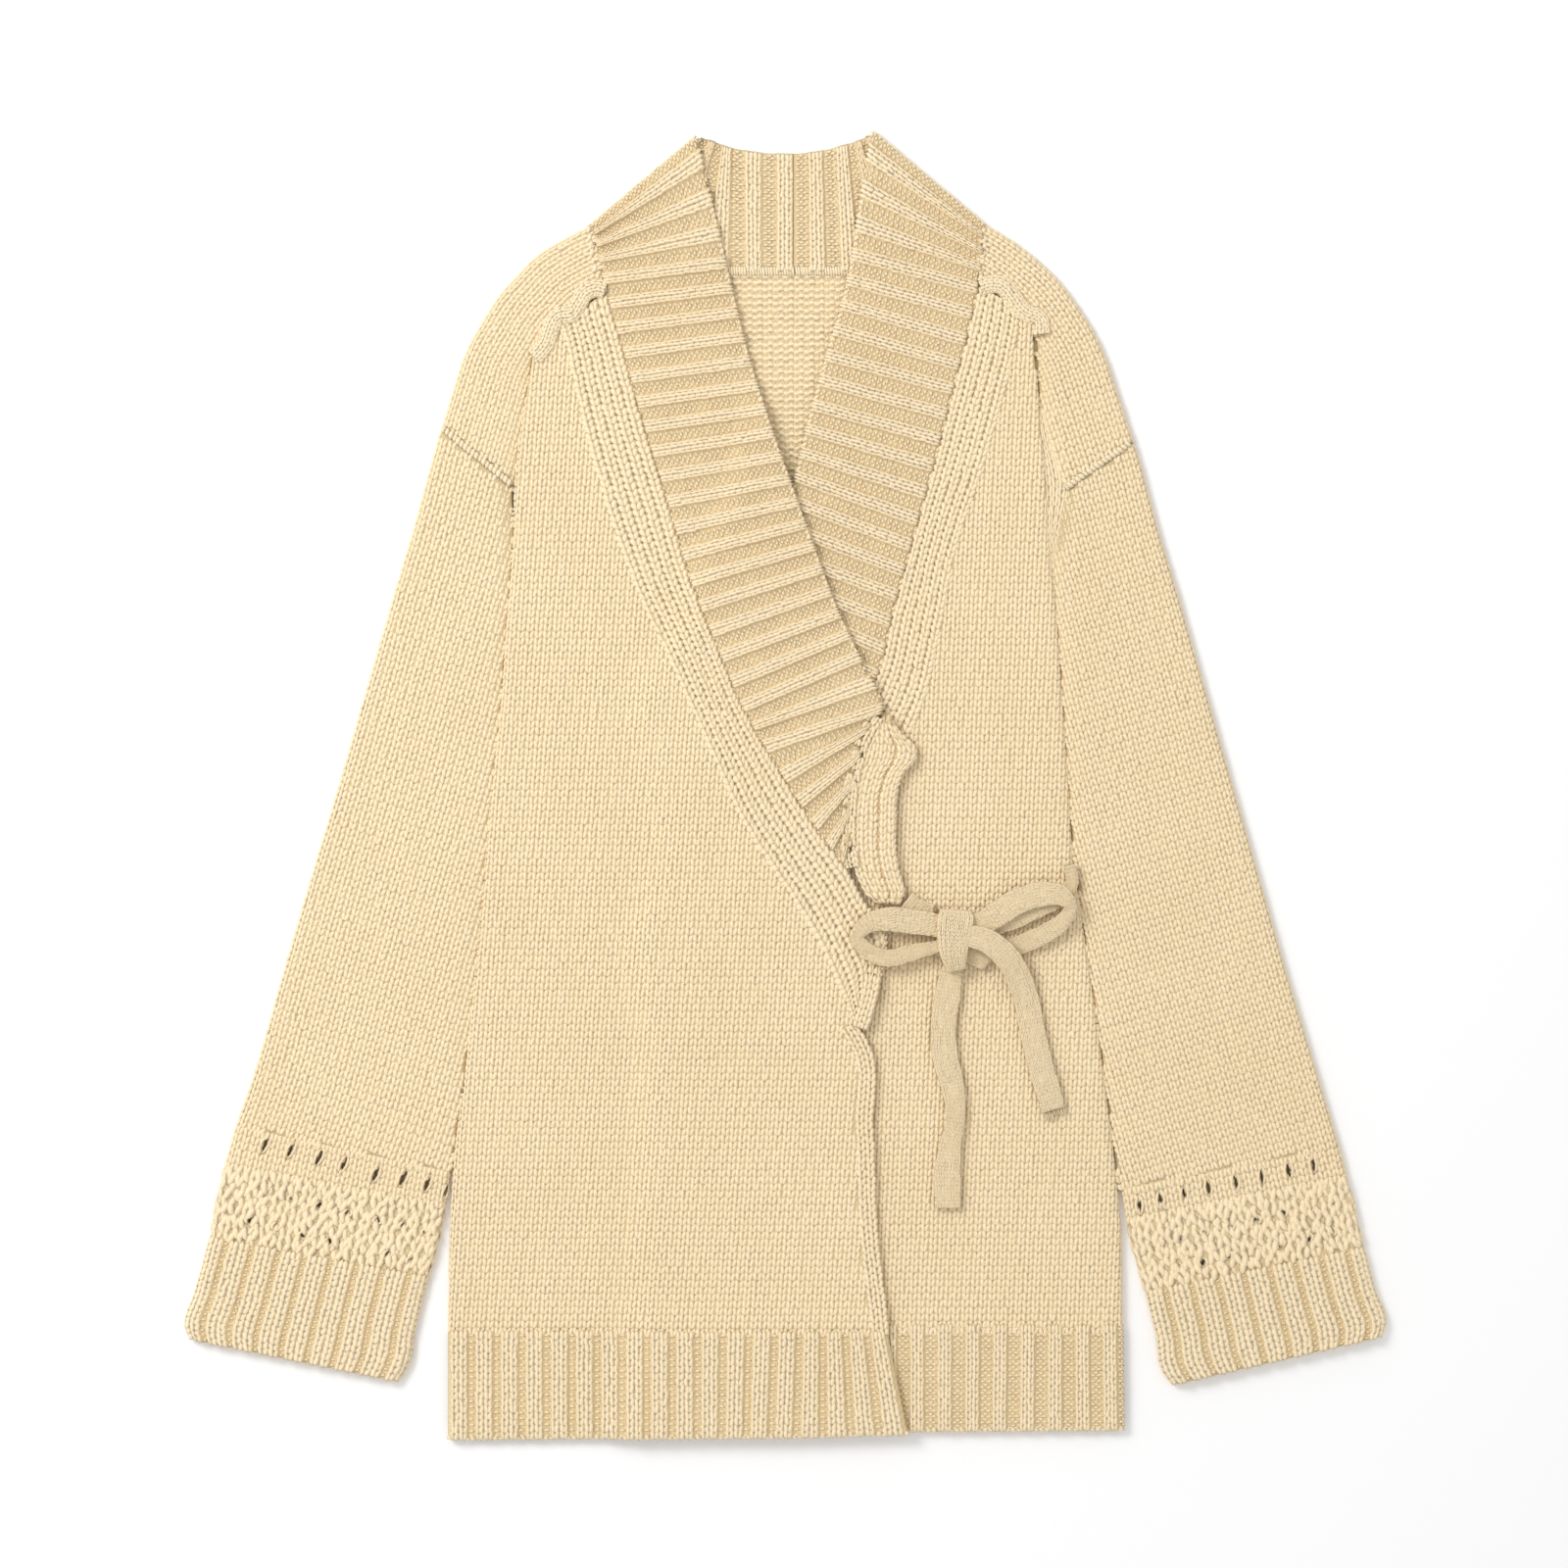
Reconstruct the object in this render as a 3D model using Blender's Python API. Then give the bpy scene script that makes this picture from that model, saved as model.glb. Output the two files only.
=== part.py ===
"""A chunky knitted wrap jacket in kimono style, laid flat on its back, at real size.

The tables hold millimetres in the garment's own frame: X to the viewer's right, Y towards the neck and Z up
from the surface that it lies on. Sides are the wearer's, so the right front is at negative X and lies on top.
"""
import bpy
import numpy as np

MM = 0.001
CLOTH = 3.5
GAP = 0.3
SEAM = 0.25
LAYER = CLOTH + GAP
RIB_RISE = 1.3
BAND_RISE = 1.1
KNOB_RISE = 1.2
EDGE_ROLL = 0.9
FOLD_WALL = 4.6
OVERLAP_LIFT = 5.2
PLAIN_LIFT = 4.1
LIFT_START = 44.0
LIFT_RUN = 28.0
COLUMN_SPACE = 1.5

COLLAR_RIBS = 28
BACK_COLLAR_RIBS = 2
BAND_RIBS = 5
RIGHT_HEM_RIBS = 17
LEFT_HEM_RIBS = 9
CUFF_RIBS = 9
KNOB_COLUMNS = 11
RIB_CROWN = (0.28, 0.68)
FADE_SHARE = 0.03
OPENWORK_ROWS = 4
OPENWORK_STITCHES = 8
EYELET_WIDTH = 4.4
EYELET_FROM_SEAM = 4.0
CUTTER_DEPTH = 20.0
ARMPIT_Y = 184.0
ARMPIT_RIGHT = (-172.6, 194.0)
ARMPIT_LEFT = (176.6, 191.4)
YOKE_Y = ARMPIT_Y + 3.0
HEM_TOP_Y = -349.0
PLAIN_TOP_Y = -160.0
PLAIN_LOW_Y = -345.0
PLAIN_FADE = 20.0
COLLAR_SHARES = (0.0, 0.03, 0.5, 0.97, 1.0)
STRAP_SIDES = 8

CREAM = (0.84, 0.68, 0.46)
RIB_CREAM = (0.82, 0.66, 0.43)
TIE_CREAM = (0.79, 0.62, 0.40)
PURL_CREAM = (0.81, 0.63, 0.38)

# Side creases. Columns: y, x of the right side, x of the left side.
SIDES = (
    (-349, -215.0, 216.0), (-323, -215.0, 215.5), (-280, -214.0, 214.5), (-242, -212.0, 211.0),
    (-173, -204.0, 202.5), (-92, -196.0, 191.0), (-45, -192.0, 184.0), (2, -188.0, 181.5),
    (64, -181.0, 177.0), (102, -179.0, 174.5), (152, -174.5, 170.0), (184, -173.0, 167.5),
    (195, -172.5, 166.5), (227, -169.0, 163.5), (260, -164.0, 161.0), (283, -160.0, 159.0), (297, -157.0, 158.5))

# Line between the right front and its band. Columns: y, x.
OUTER_RIGHT = (
    (-350, 66.0), (-339, 65.0), (-286, 59.0), (-217, 56.0), (-162, 52.0), (-157, 49.0), (-152.8, 46.3),
    (-128.4, 33.8), (-105.3, 23.8), (-66.6, 0.6), (-26.6, -25.6), (17.2, -45.6), (70.3, -69.4), (119, -92.5),
    (164.7, -110.0), (206, -122.5), (239.7, -131.3), (264, -136.3), (286, -141.0), (298, -145.0))

# Line between the right band and its collar, then the band's free side. Columns: y, x.
INNER_RIGHT = (
    (-153, 52.5), (-138, 57.0), (-116, 61.5), (-93, 63.5), (-82, 57.5), (-72, 50.0), (-52.8, 39.4), (-37, 27.0),
    (-11, 9.4), (17, -8.0), (47.2, -25.6), (87, -42.5), (128.4, -59.4), (182, -75.0), (227.8, -89.4),
    (269.7, -101.0), (311.6, -113.0), (331.5, -118.0), (354, -122.5))

OUTER_LEFT = (
    (-349, -65.0), (-286, -59.0), (-217, -56.0), (-162, -52.0), (-154, -48.0), (-145, -40.8), (-120, -27.4),
    (-86, -3.6), (-48.4, 25.8), (4.7, 65.0), (50.3, 88.0), (98.4, 99.5), (148.4, 109.0), (201.6, 126.5),
    (251.6, 140.8), (291.6, 149.3), (308, 150.5))

INNER_LEFT = (
    (-152, -53.0), (-140, -57.0), (-116, -61.5), (-93, -63.0), (-80, -51.0), (-64.7, -39.4), (-54.7, -32.0),
    (-39.7, -20.6), (-23.4, -8.0), (-7.8, 3.0), (7.8, 13.0), (32.8, 34.0), (64, 55.6), (115.3, 70.0),
    (160.3, 82.5), (209.7, 96.3), (256, 108.0), (279.7, 114.4), (303.4, 120.0), (327, 125.0), (356, 127.5))

# Hidden edge of everything on the left side, which the right side lies on. Columns: y, x.
HIDDEN_EDGE = (
    (-420, -80.0), (-347, -66.0), (-286, -60.0), (-217, -57.0), (-160, -55.0), (-116, -63.0), (-92, -65.0),
    (-75, -56.0), (-20, -49.0), (20, -55.0), (47, -63.0), (77, -51.0), (98, -39.0), (132, -27.0), (160, -14.0),
    (194, 0.0), (240, 13.0), (273, 24.0), (343, 40.0), (415, 60.0))

# Collar sections. Columns: seam y, free edge x, free edge y.
COLLAR_RIGHT = (
    (345, -47.0, 373.4), (331.5, -40.0, 344.0), (311.6, -35.0, 321.6), (290, -30.0, 300.3),
    (269.7, -25.0, 280.3), (227.8, -12.5, 239.0), (182, 2.5, 196.0), (128.4, 18.8, 151.0), (87, 32.5, 114.0),
    (47, 48.8, 79.0), (23.4, 61.0, 47.5), (7.8, 53.0, 37.8), (-11, 47.5, 19.0), (-29.7, 42.5, -3.4),
    (-46, 40.6, -28.4), (-54, 41.0, -47.0))
COLLAR_LEFT = (
    (342, 49.4, 382.8), (327, 45.0, 351.6), (303.4, 40.6, 324.7), (279.7, 35.0, 302.8), (256, 27.5, 277.8),
    (209.7, 15.0, 232.8), (160.3, 4.4, 189.0), (115.3, -10.0, 145.3), (64, -27.5, 101.6), (32.8, -45.6, 70.3),
    (7.8, -61.0, 47.2), (-7.8, -53.0, 32.8), (-23.4, -47.0, 11.0), (-39.7, -42.5, -11.0),
    (-52, -40.0, -30.0), (-60, -41.0, -50.0))

# Back stretch of each collar, from the centre back to the fold at the side of the neck.
# Columns: seam x, seam y, free edge x, free edge y.
BACK_COLLAR_RIGHT = (
    (6.0, 329.3, 6.0, 404.8), (-14.0, 329.2, -14.0, 405.5), (-34.0, 329.5, -33.0, 408.5),
    (-80.0, 338.5, -48.0, 413.8), (-122.5, 354.0, -58.0, 415.0))
BACK_COLLAR_LEFT = (
    (6.5, 329.3, 6.5, 404.8), (26.0, 329.2, 24.0, 407.0), (44.0, 329.5, 38.0, 410.6), (87.0, 338.5, 50.0, 414.8),
    (127.5, 356.0, 57.5, 418.4))

# Bands. Columns: y on the outer line, y on the inner line.
BAND_RIGHT = (
    (294.5, 315.5), (283, 290), (262, 269), (239.7, 245), (206, 211), (164.7, 174), (119, 126.5), (70.3, 86),
    (17.2, 41.5), (-26.6, 9.5), (-66.6, -34), (-105.3, -72), (-118, -82), (-128.4, -93), (-139, -116),
    (-147, -136), (-152.5, -149))
BAND_LEFT = (
    (305, 319), (291.6, 303), (251.6, 256), (201.6, 209.7), (148.4, 160.3), (98.4, 115.3), (72, 85), (50.3, 64),
    (28, 46), (4.7, 28), (-48.4, -12), (-86, -45), (-120, -66), (-133, -93), (-145, -118), (-151, -144))

# Fronts below the shoulder. Columns: y at the side, y at the band or front edge.
FRONT_RIGHT = (
    (277.5, 293.5), (264, 274), (250, 256), (230, 239), (206, 206), (186, 186), (184, 184), (164.7, 164.7),
    (119, 119), (70, 70), (17, 17), (-26.6, -26.6), (-66.6, -66.6), (-105.3, -105.3), (-118, -118),
    (-128.4, -128.4), (-139, -139), (-153, -153), (-162, -162), (-173, -173), (-242, -242), (-280, -280),
    (-323, -323), (-347.6, -347.6))
FRONT_LEFT = (
    (294.5, 304), (276, 284), (251.6, 251.6), (201.6, 201.6), (186, 186), (184, 184), (148.4, 148.4),
    (98.4, 98.4), (72, 72), (50.3, 50.3), (28, 28), (4.7, 4.7), (-48.4, -48.4), (-86, -86), (-120, -120),
    (-133, -133), (-145, -145), (-154, -154), (-173, -173), (-242, -242), (-280, -280), (-343.6, -343.6))

# Saddles from the neck to the armhole. Columns: outline x, y, inner seam x, y.
SADDLE_RIGHT = (
    (-123.8, 353.0, -117.6, 319.5), (-140, 351.5, -126.5, 311.5), (-158, 339.5, -135.5, 304.5),
    (-171, 326.8, -145.5, 297.0), (-182.5, 314, -154.0, 288.0), (-194.4, 295.3, -162.5, 278.0),
    (-204.4, 276.6, -167.0, 252.5), (-212.5, 251.6, -171.0, 227.0), (-219.0, 230.4, -174.5, 195.0))
SADDLE_LEFT = (
    (129.0, 355.5, 126.6, 321.0), (142, 350.8, 135.0, 318.0), (157.5, 339.5, 145.0, 311.0),
    (171.3, 326.8, 152.5, 305.0), (182, 314, 160.5, 298.0), (194.4, 295.3, 164.0, 286.0),
    (203.8, 276.6, 165.0, 258.0), (212.5, 251.6, 168.0, 227.0), (220.0, 229.0, 178.0, 192.5))
NECK_SEAM = ((-119, 348.6), (-80, 336.6), (-55, 331.4), (-34, 328.4), (6, 328.2), (44, 328.4), (62, 331.4),
             (87, 336.8), (124.5, 349.6))

# Sleeves from the armhole to the openwork. Columns: outer x, y, inner x, y.
SLEEVE_RIGHT = (
    (-219.6, 229.6, -175.2, 193.6), (-226, 207, -175.6, 158), (-236, 170, -178.2, 128), (-248.8, 126.6, -181.2, 90),
    (-267, 64, -185.4, 36), (-285, 1.6, -191.2, -20), (-303.8, -61, -196.6, -83), (-322, -123.4, -202.6, -146),
    (-340, -186, -210.0, -210), (-350.6, -216, -213.4, -246))
SLEEVE_LEFT = (
    (220.6, 228.2, 179.4, 191.2), (227, 207, 173.6, 156), (238, 166, 173.8, 128), (250, 126.6, 176.8, 88),
    (268, 64, 180.6, 34), (286, 1.6, 184.6, -20), (304, -61, 191.8, -84), (322, -123.4, 200.8, -148),
    (341, -186, 209.4, -212), (354, -229, 214.4, -256))
OPENWORK_RIGHT = ((-351.0, -216.6, -213.6, -246.6), (-362, -258, -219.5, -282), (-367.5, -287.5, -227, -313))
OPENWORK_LEFT = ((354.2, -229.6, 214.6, -256.6), (362.5, -262, 221.0, -291), (370.0, -294, 229.5, -322.5))
CUFF_RIGHT = ((-367.8, -288.1, -227.4, -313.6), (-377, -322, -236, -348), (-383.5, -346, -241, -372),
              (-380.5, -352.5, -246, -380))
CUFF_LEFT = ((370.3, -294.6, 230.0, -323.1), (377.5, -322, 237, -352), (384.0, -344.5, 242, -376),
             (381.5, -351, 247, -382))
# Eyelet slits. Columns: share of the way from the outer to the inner edge, length in mm.
SLITS = ((0.10, 6.5), (0.22, 7.5), (0.34, 8.0), (0.46, 9.0), (0.59, 9.5), (0.71, 9.0), (0.83, 8.0), (0.92, 6.0))

# Hem ribs. Columns: top x, y, bottom x, y.
HEM_RIGHT = ((-215.6, -348.4, -215.6, -417.0), (-63, -348.2, -63, -415.4), (24, -348.2, 24, -414.4),
             (43, -348.2, 48, -413.6), (66, -348.2, 79, -413.0))
HEM_LEFT = ((-65, -344.4, -65, -412.0), (72, -344.4, 72, -411.8), (150, -344.4, 149.5, -411.2),
            (216, -344.4, 217, -410.8))
HEM_BACK = ((-211.2, -349.6, -211.2, -414.0), (0, -349.6, 0, -413.0), (211.8, -349.6, 212.6, -409.0))

# Tab at the end of the right collar. Columns: left x, y, right x, y.
TAB = ((61.2, 43.6, 66.0, 45.6), (54.6, 36.0, 74.4, 33.0), (50.6, 26.0, 83.8, 23.5), (48.6, 18.0, 83.0, 17.0),
       (45.6, 6.0, 75.6, 8.6), (43.4, -5.0, 72.0, -2.0), (41.8, -28.5, 70.6, -23.4), (42.4, -48.0, 71.3, -45.3),
       (46.4, -60.5, 74.4, -59.7), (51.4, -69.0, 76.3, -67.8), (58.5, -75.5, 72.5, -75.3))

# Tie stretches. Columns: x, y, z of the middle, width, thickness.
LOOP_RIGHT = ((94.4, -88.0, 14.6, 15.0, 4.0), (80.6, -86.0, 15.4, 16.0, 4.0), (65.0, -84.4, 16.4, 15.5, 4.0),
              (53.0, -87.0, 16.6, 12.0, 4.2), (46.0, -95.6, 16.6, 9.0, 4.6), (53.0, -105.0, 16.6, 10.5, 4.2),
              (65.0, -109.0, 16.4, 11.0, 4.0), (80.6, -105.6, 15.0, 10.5, 4.0), (94.4, -102.4, 14.4, 8.5, 4.0))
LOOP_LEFT = ((119.6, -88.6, 14.2, 14.5, 4.2), (126.5, -86.6, 14.2, 15.5, 4.2),
             (133.8, -82.0, 14.2, 16.5, 4.2), (150.6, -72.0, 14.2, 16.5, 4.2),
             (163.8, -68.6, 14.2, 16.0, 4.2), (175.6, -69.6, 14.4, 13.0, 4.4), (181.6, -76.5, 14.6, 8.5, 4.6),
             (177.5, -85.0, 13.6, 10.5, 4.4), (166.5, -93.2, 11.8, 12.5, 4.2), (152.5, -99.8, 10.4, 12.5, 4.2),
             (143.0, -103.6, 10.1, 12.0, 4.2), (135.4, -107.0, 10.0, 11.0, 4.2))
LEAD_RIGHT = ((77.2, -72.5, 10.4, 13.0, 4.0), (83.0, -77.0, 9.9, 14.0, 4.0), (89.0, -81.0, 9.7, 15.0, 4.0),
              (94.2, -82.4, 9.7, 14.0, 4.0))
LEAD_LEFT = ((181.0, -50.0, 9.8, 8.0, 4.0), (183.0, -60.0, 9.8, 8.5, 4.0), (178.0, -69.0, 9.8, 10.0, 4.0),
             (162.0, -77.0, 9.8, 13.0, 4.0), (137.0, -87.0, 9.8, 14.0, 4.0), (120.2, -90.6, 9.8, 14.0, 4.0))
KNOT = ((106.8, -78.6, 13.0, 16.0, 9.0), (106.8, -83.0, 14.2, 20.6, 12.6), (106.8, -96.0, 14.2, 21.0, 13.2),
        (106.8, -108.0, 14.2, 20.6, 12.8), (106.8, -116.0, 13.4, 16.0, 10.0))
UNDERFOLD = ((119.4, -107.0, 10.2, 12.0, 4.4), (123.6, -109.0, 10.2, 13.0, 4.4), (128.6, -114.0, 10.0, 9.0, 4.2))
TAIL_RIGHT = ((119.2, -95.4, 18.8, 14.5, 4.2), (126.0, -97.0, 18.8, 15.5, 4.2),
              (132.0, -100.4, 18.6, 16.0, 4.2), (141.3, -109.0, 17.2, 16.5, 4.2),
              (149.4, -123.4, 12.4, 16.5, 4.2), (153.0, -133.0, 10.2, 16.5, 4.2), (157.5, -154.7, 9.9, 16.5, 4.2),
              (162.5, -176.6, 9.9, 16.5, 4.2), (167.0, -192.0, 9.9, 16.5, 4.2), (171.0, -206.0, 9.9, 15.5, 4.0))
TAIL_LEFT = ((105.8, -118.6, 10.2, 14.0, 4.4), (103.8, -132.8, 9.9, 16.5, 4.2), (101.3, -147.8, 9.9, 16.5, 4.2),
             (102.0, -171.6, 9.9, 16.5, 4.2), (107.0, -192.0, 9.9, 15.0, 4.2), (108.8, -211.6, 10.0, 12.0, 4.4),
             (105.6, -227.0, 9.9, 14.0, 4.2), (103.8, -243.4, 9.9, 16.5, 4.2), (103.8, -268.4, 9.9, 17.0, 4.2))

# Edge profiles. Columns: distance from the edge, share of the layer below kept, drop of the outer face.
FOLDED = ((0.0, 0.0, 5.6), (0.8, 0.0, 2.6), (3.5, 0.0, 0.5), (3.95, 1.0, 0.3), (9.0, 1.0, 0.0))
SEWN = ((0.0, 1.0, EDGE_ROLL), (2.2, 1.0, 0.0))
UNROLLED = ((0.0, 1.0, 0.0),)


def smooth_step(value):
    """Rise from 0 to 1 with flat ends."""
    value = np.clip(value, 0.0, 1.0)
    return value * value * (3.0 - 2.0 * value)


def smooth_curve(knots, rows, where):
    """Read a smooth curve through the rows of a table at places given on the same scale as its knots."""
    knots = np.asarray(knots, float)
    rows = np.asarray(rows, float)
    slopes = np.gradient(rows, knots, axis=0)
    where = np.clip(np.asarray(where, float), knots[0], knots[-1])
    index = np.clip(np.searchsorted(knots, where, side="right") - 1, 0, len(knots) - 2)
    span = knots[index + 1] - knots[index]
    t = ((where - knots[index]) / span)[:, None]
    span = span[:, None]
    return ((2 * t**3 - 3 * t**2 + 1) * rows[index] + (t**3 - 2 * t**2 + t) * span * slopes[index]
            + (3 * t**2 - 2 * t**3) * rows[index + 1] + (t**3 - t**2) * span * slopes[index + 1])


def line_x(table, y):
    """X of a line at a height, from a table of y and x."""
    table = np.asarray(table, float)
    return smooth_curve(table[:, 0], table[:, 1:2], np.atleast_1d(y))[:, 0]


def side_x(y, column):
    """X of a side crease at a height: column 1 is the right side and column 2 the left."""
    table = np.asarray(SIDES, float)
    return smooth_curve(table[:, 0], table[:, column:column + 1], np.atleast_1d(y))[:, 0]


def lengths(stations):
    """Distance along the middle of a table of stations."""
    stations = np.asarray(stations, float)
    middle = (stations[:, 0:2] + stations[:, 2:4]) / 2 if stations.shape[1] == 4 else stations[:, 0:2]
    steps = np.linalg.norm(np.diff(middle, axis=0), axis=1)
    return np.concatenate([[0.0], np.cumsum(steps)])


def between(stations, steps):
    """The stations of a table with steps intervals made of each of its own."""
    knots = lengths(stations)
    where = [a + (b - a) * k / steps for a, b in zip(knots[:-1], knots[1:]) for k in range(steps)]
    return smooth_curve(knots, stations, where + [knots[-1]])


def floor_low(x, y):
    """Underside of what lies on the ground."""
    return 0.0


def under_low(x, y):
    """Underside of the left front, band and collar, which lie on the back."""
    return LAYER


def over_low(x, y):
    """Underside of the right side, which climbs over the hidden edge of the left side."""
    edge = line_x(HIDDEN_EDGE, y)[0]
    plain = smooth_step((y - PLAIN_LOW_Y) / PLAIN_FADE) * smooth_step((PLAIN_TOP_Y - y) / PLAIN_FADE)
    lift = OVERLAP_LIFT + (PLAIN_LIFT - OVERLAP_LIFT) * plain
    return LAYER + lift * smooth_step((x - edge + LIFT_START) / LIFT_RUN)


def rib_places(count):
    """Three places for each rib: its groove, the start of its crown and the end of it."""
    return [(rib + part) / count for rib in range(count) for part in (0.0, *RIB_CROWN)] + [1.0]


def rib_height(place, count, rise):
    """Height of a rib at a place from 0 to 1 across all of them."""
    part = (place * count) % 1.0
    return rise * float(np.interp(part, (0.0, *RIB_CROWN, 1.0), (0.0, 1.0, 1.0, 0.0)))


def columns_across(width, left_edge, right_edge, middle):
    """Distances, share kept below and drop for every column of a wall of one width."""
    left = list(left_edge)
    right = [(width - d, share, drop) for d, share, drop in reversed(right_edge)]
    first = left[-1][0]
    run = right[0][0] - first
    places = middle if isinstance(middle, list) else [run * (step + 1) / (middle + 1) for step in range(middle)]
    return left + [(first + place, 1.0, 0.0) for place in places] + right


def climb_columns(station):
    """Places of the columns of the right front, gathered where it climbs over the hidden edge of the left."""
    first = station[0] + FOLDED[-1][0]
    run = station[2] - SEWN[-1][0] - first
    edge = line_x(HIDDEN_EDGE, station[3])[0]
    steps = (-LIFT_START, -LIFT_START + 0.35 * LIFT_RUN, -LIFT_START + 0.65 * LIFT_RUN, -LIFT_START + LIFT_RUN)
    places = []
    for number, step in enumerate(steps):
        nearest = COLUMN_SPACE * (number + 1)
        farthest = run - COLUMN_SPACE * (len(steps) - number)
        places.append(float(np.clip(edge + step - first, min(nearest, farthest), farthest)))
    return places


def close_grid(name, top, bottom, colour):
    """One closed body from an outer grid, an inner grid and the four sides between them."""
    rows, columns = len(top), len(top[0])
    points = [p for row in top for p in row] + [p for row in bottom for p in row]
    inner = rows * columns
    faces = []
    for i in range(rows - 1):
        for j in range(columns - 1):
            a = i * columns + j
            faces.append((a, a + 1, a + columns + 1, a + columns))
            faces.append((inner + a, inner + a + columns, inner + a + columns + 1, inner + a + 1))
    for i in range(rows - 1):
        a = i * columns
        b = a + columns - 1
        faces.append((a, a + columns, inner + a + columns, inner + a))
        faces.append((b, inner + b, inner + b + columns, b + columns))
    last = (rows - 1) * columns
    for j in range(columns - 1):
        faces.append((j, inner + j, inner + j + 1, j + 1))
        faces.append((last + j, last + j + 1, inner + last + j + 1, inner + last + j))
    return add_body(name, points, faces, colour)


def add_body(name, points, faces, colour):
    """A mesh object with its faces outwards and its own material, placed in metres."""
    mesh = bpy.data.meshes.new(name)
    mesh.from_pydata([(x * MM, y * MM, z * MM) for x, y, z in points], [], faces)
    mesh.validate()
    if signed_volume(mesh) < 0:
        mesh.flip_normals()
    body = bpy.data.objects.new(name, mesh)
    garment.objects.link(body)
    mesh.materials.append(knit_material(name, colour))
    return body


def signed_volume(mesh):
    """Volume inside a mesh, negative where its faces point inwards."""
    mesh.calc_loop_triangles()
    total = 0.0
    for triangle in mesh.loop_triangles:
        a, b, c = (mesh.vertices[index].co for index in triangle.vertices)
        total += a.dot(b.cross(c))
    return total / 6.0


def knit_material(name, colour):
    """Matt cotton yarn."""
    material = bpy.data.materials.new(name + "_yarn")
    material.use_nodes = True
    shader = material.node_tree.nodes["Principled BSDF"]
    shader.inputs["Base Color"].default_value = (*colour, 1.0)
    shader.inputs["Roughness"].default_value = 0.9
    shader.inputs["Metallic"].default_value = 0.0
    return material


def cloth(name, stations, low, left_edge, right_edge, middle, colour, relief=None, shares=None, wrap=None):
    """A wall between two edges: plain inside, with any ribs raised on its outer face.

    Shares place the columns instead of the edge profiles, for ribs that run along the stations. Wrap gives the
    part of an edge profile that holds at a height, from 0, flat like a sewn edge, to 1, folded to the ground.
    """
    top = []
    bottom = []
    knots = lengths(stations)
    for row, station in enumerate(stations):
        left = station[0:2]
        right = station[2:4]
        width = float(np.linalg.norm(right - left))
        if shares is None:
            inner = middle(station) if callable(middle) else middle
            columns = columns_across(width, left_edge, right_edge, inner)
        else:
            columns = [(share * width, 1.0, EDGE_ROLL if share in (0.0, 1.0) else 0.0) for share in shares]
        top_row = []
        bottom_row = []
        for distance, kept, drop in columns:
            x, y = left + (right - left) * (distance / width)
            if wrap is not None and kept + drop != 1.0:
                amount = wrap(y)
                kept = 1.0 - amount * (1.0 - kept)
                drop = amount * drop + (1.0 - amount) * min(drop, EDGE_ROLL)
            base = low(x, y)
            rise = relief(knots[row] / knots[-1], distance / width) if relief else 0.0
            top_row.append((x, y, base + CLOTH - drop + rise))
            bottom_row.append((x, y, base * kept))
        top.append(top_row)
        bottom.append(bottom_row)
    return close_grid(name, top, bottom, colour)


def fade_ends(share):
    """Ribs and knobs sink into the cloth at its edges."""
    return float(smooth_step(share / FADE_SHARE) * smooth_step((1.0 - share) / FADE_SHARE))


def front(name, table, column, line, sign, low, middle, colour):
    """A front from its side crease to its band, or to its own edge below the band."""
    rows = []
    for side_y, inner_y in table:
        side = (side_x(side_y, column)[0], side_y)
        inner = (line_x(line, inner_y)[0] - sign * SEAM, inner_y)
        rows.append((*side, *inner) if sign > 0 else (*inner, *side))
    left_edge, right_edge = (FOLDED, SEWN) if sign > 0 else (SEWN, FOLDED)
    folded_below = lambda y: float(y < ARMPIT_Y + 1.0)
    cloth(name, between(rows, 1), low, left_edge, right_edge, middle, colour, wrap=folded_below)


def band(name, table, outer_line, inner_line, sign, low):
    """The five-wale rib that runs beside a collar."""
    table = np.asarray(table, float)
    outer = [(line_x(outer_line, y)[0] + sign * SEAM, y) for y in table[:, 0]]
    outer = np.asarray(outer)
    rows = []
    for number in range(2 * len(table) - 1):
        inner_y = (table[number // 2, 1] + table[(number + 1) // 2, 1]) / 2
        inner = (line_x(inner_line, inner_y)[0] - sign * SEAM, inner_y)
        rows.append((*((outer[number // 2] + outer[(number + 1) // 2]) / 2), *inner))
    rows = np.asarray(rows)
    relief = lambda along, across: BAND_RISE * abs(np.sin(np.pi * BAND_RIBS * across))
    shares = [step / (2 * BAND_RIBS) for step in range(2 * BAND_RIBS + 1)]
    cloth(name, rows, low, SEWN, SEWN, 0, RIB_CREAM, relief=relief, shares=shares)


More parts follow.
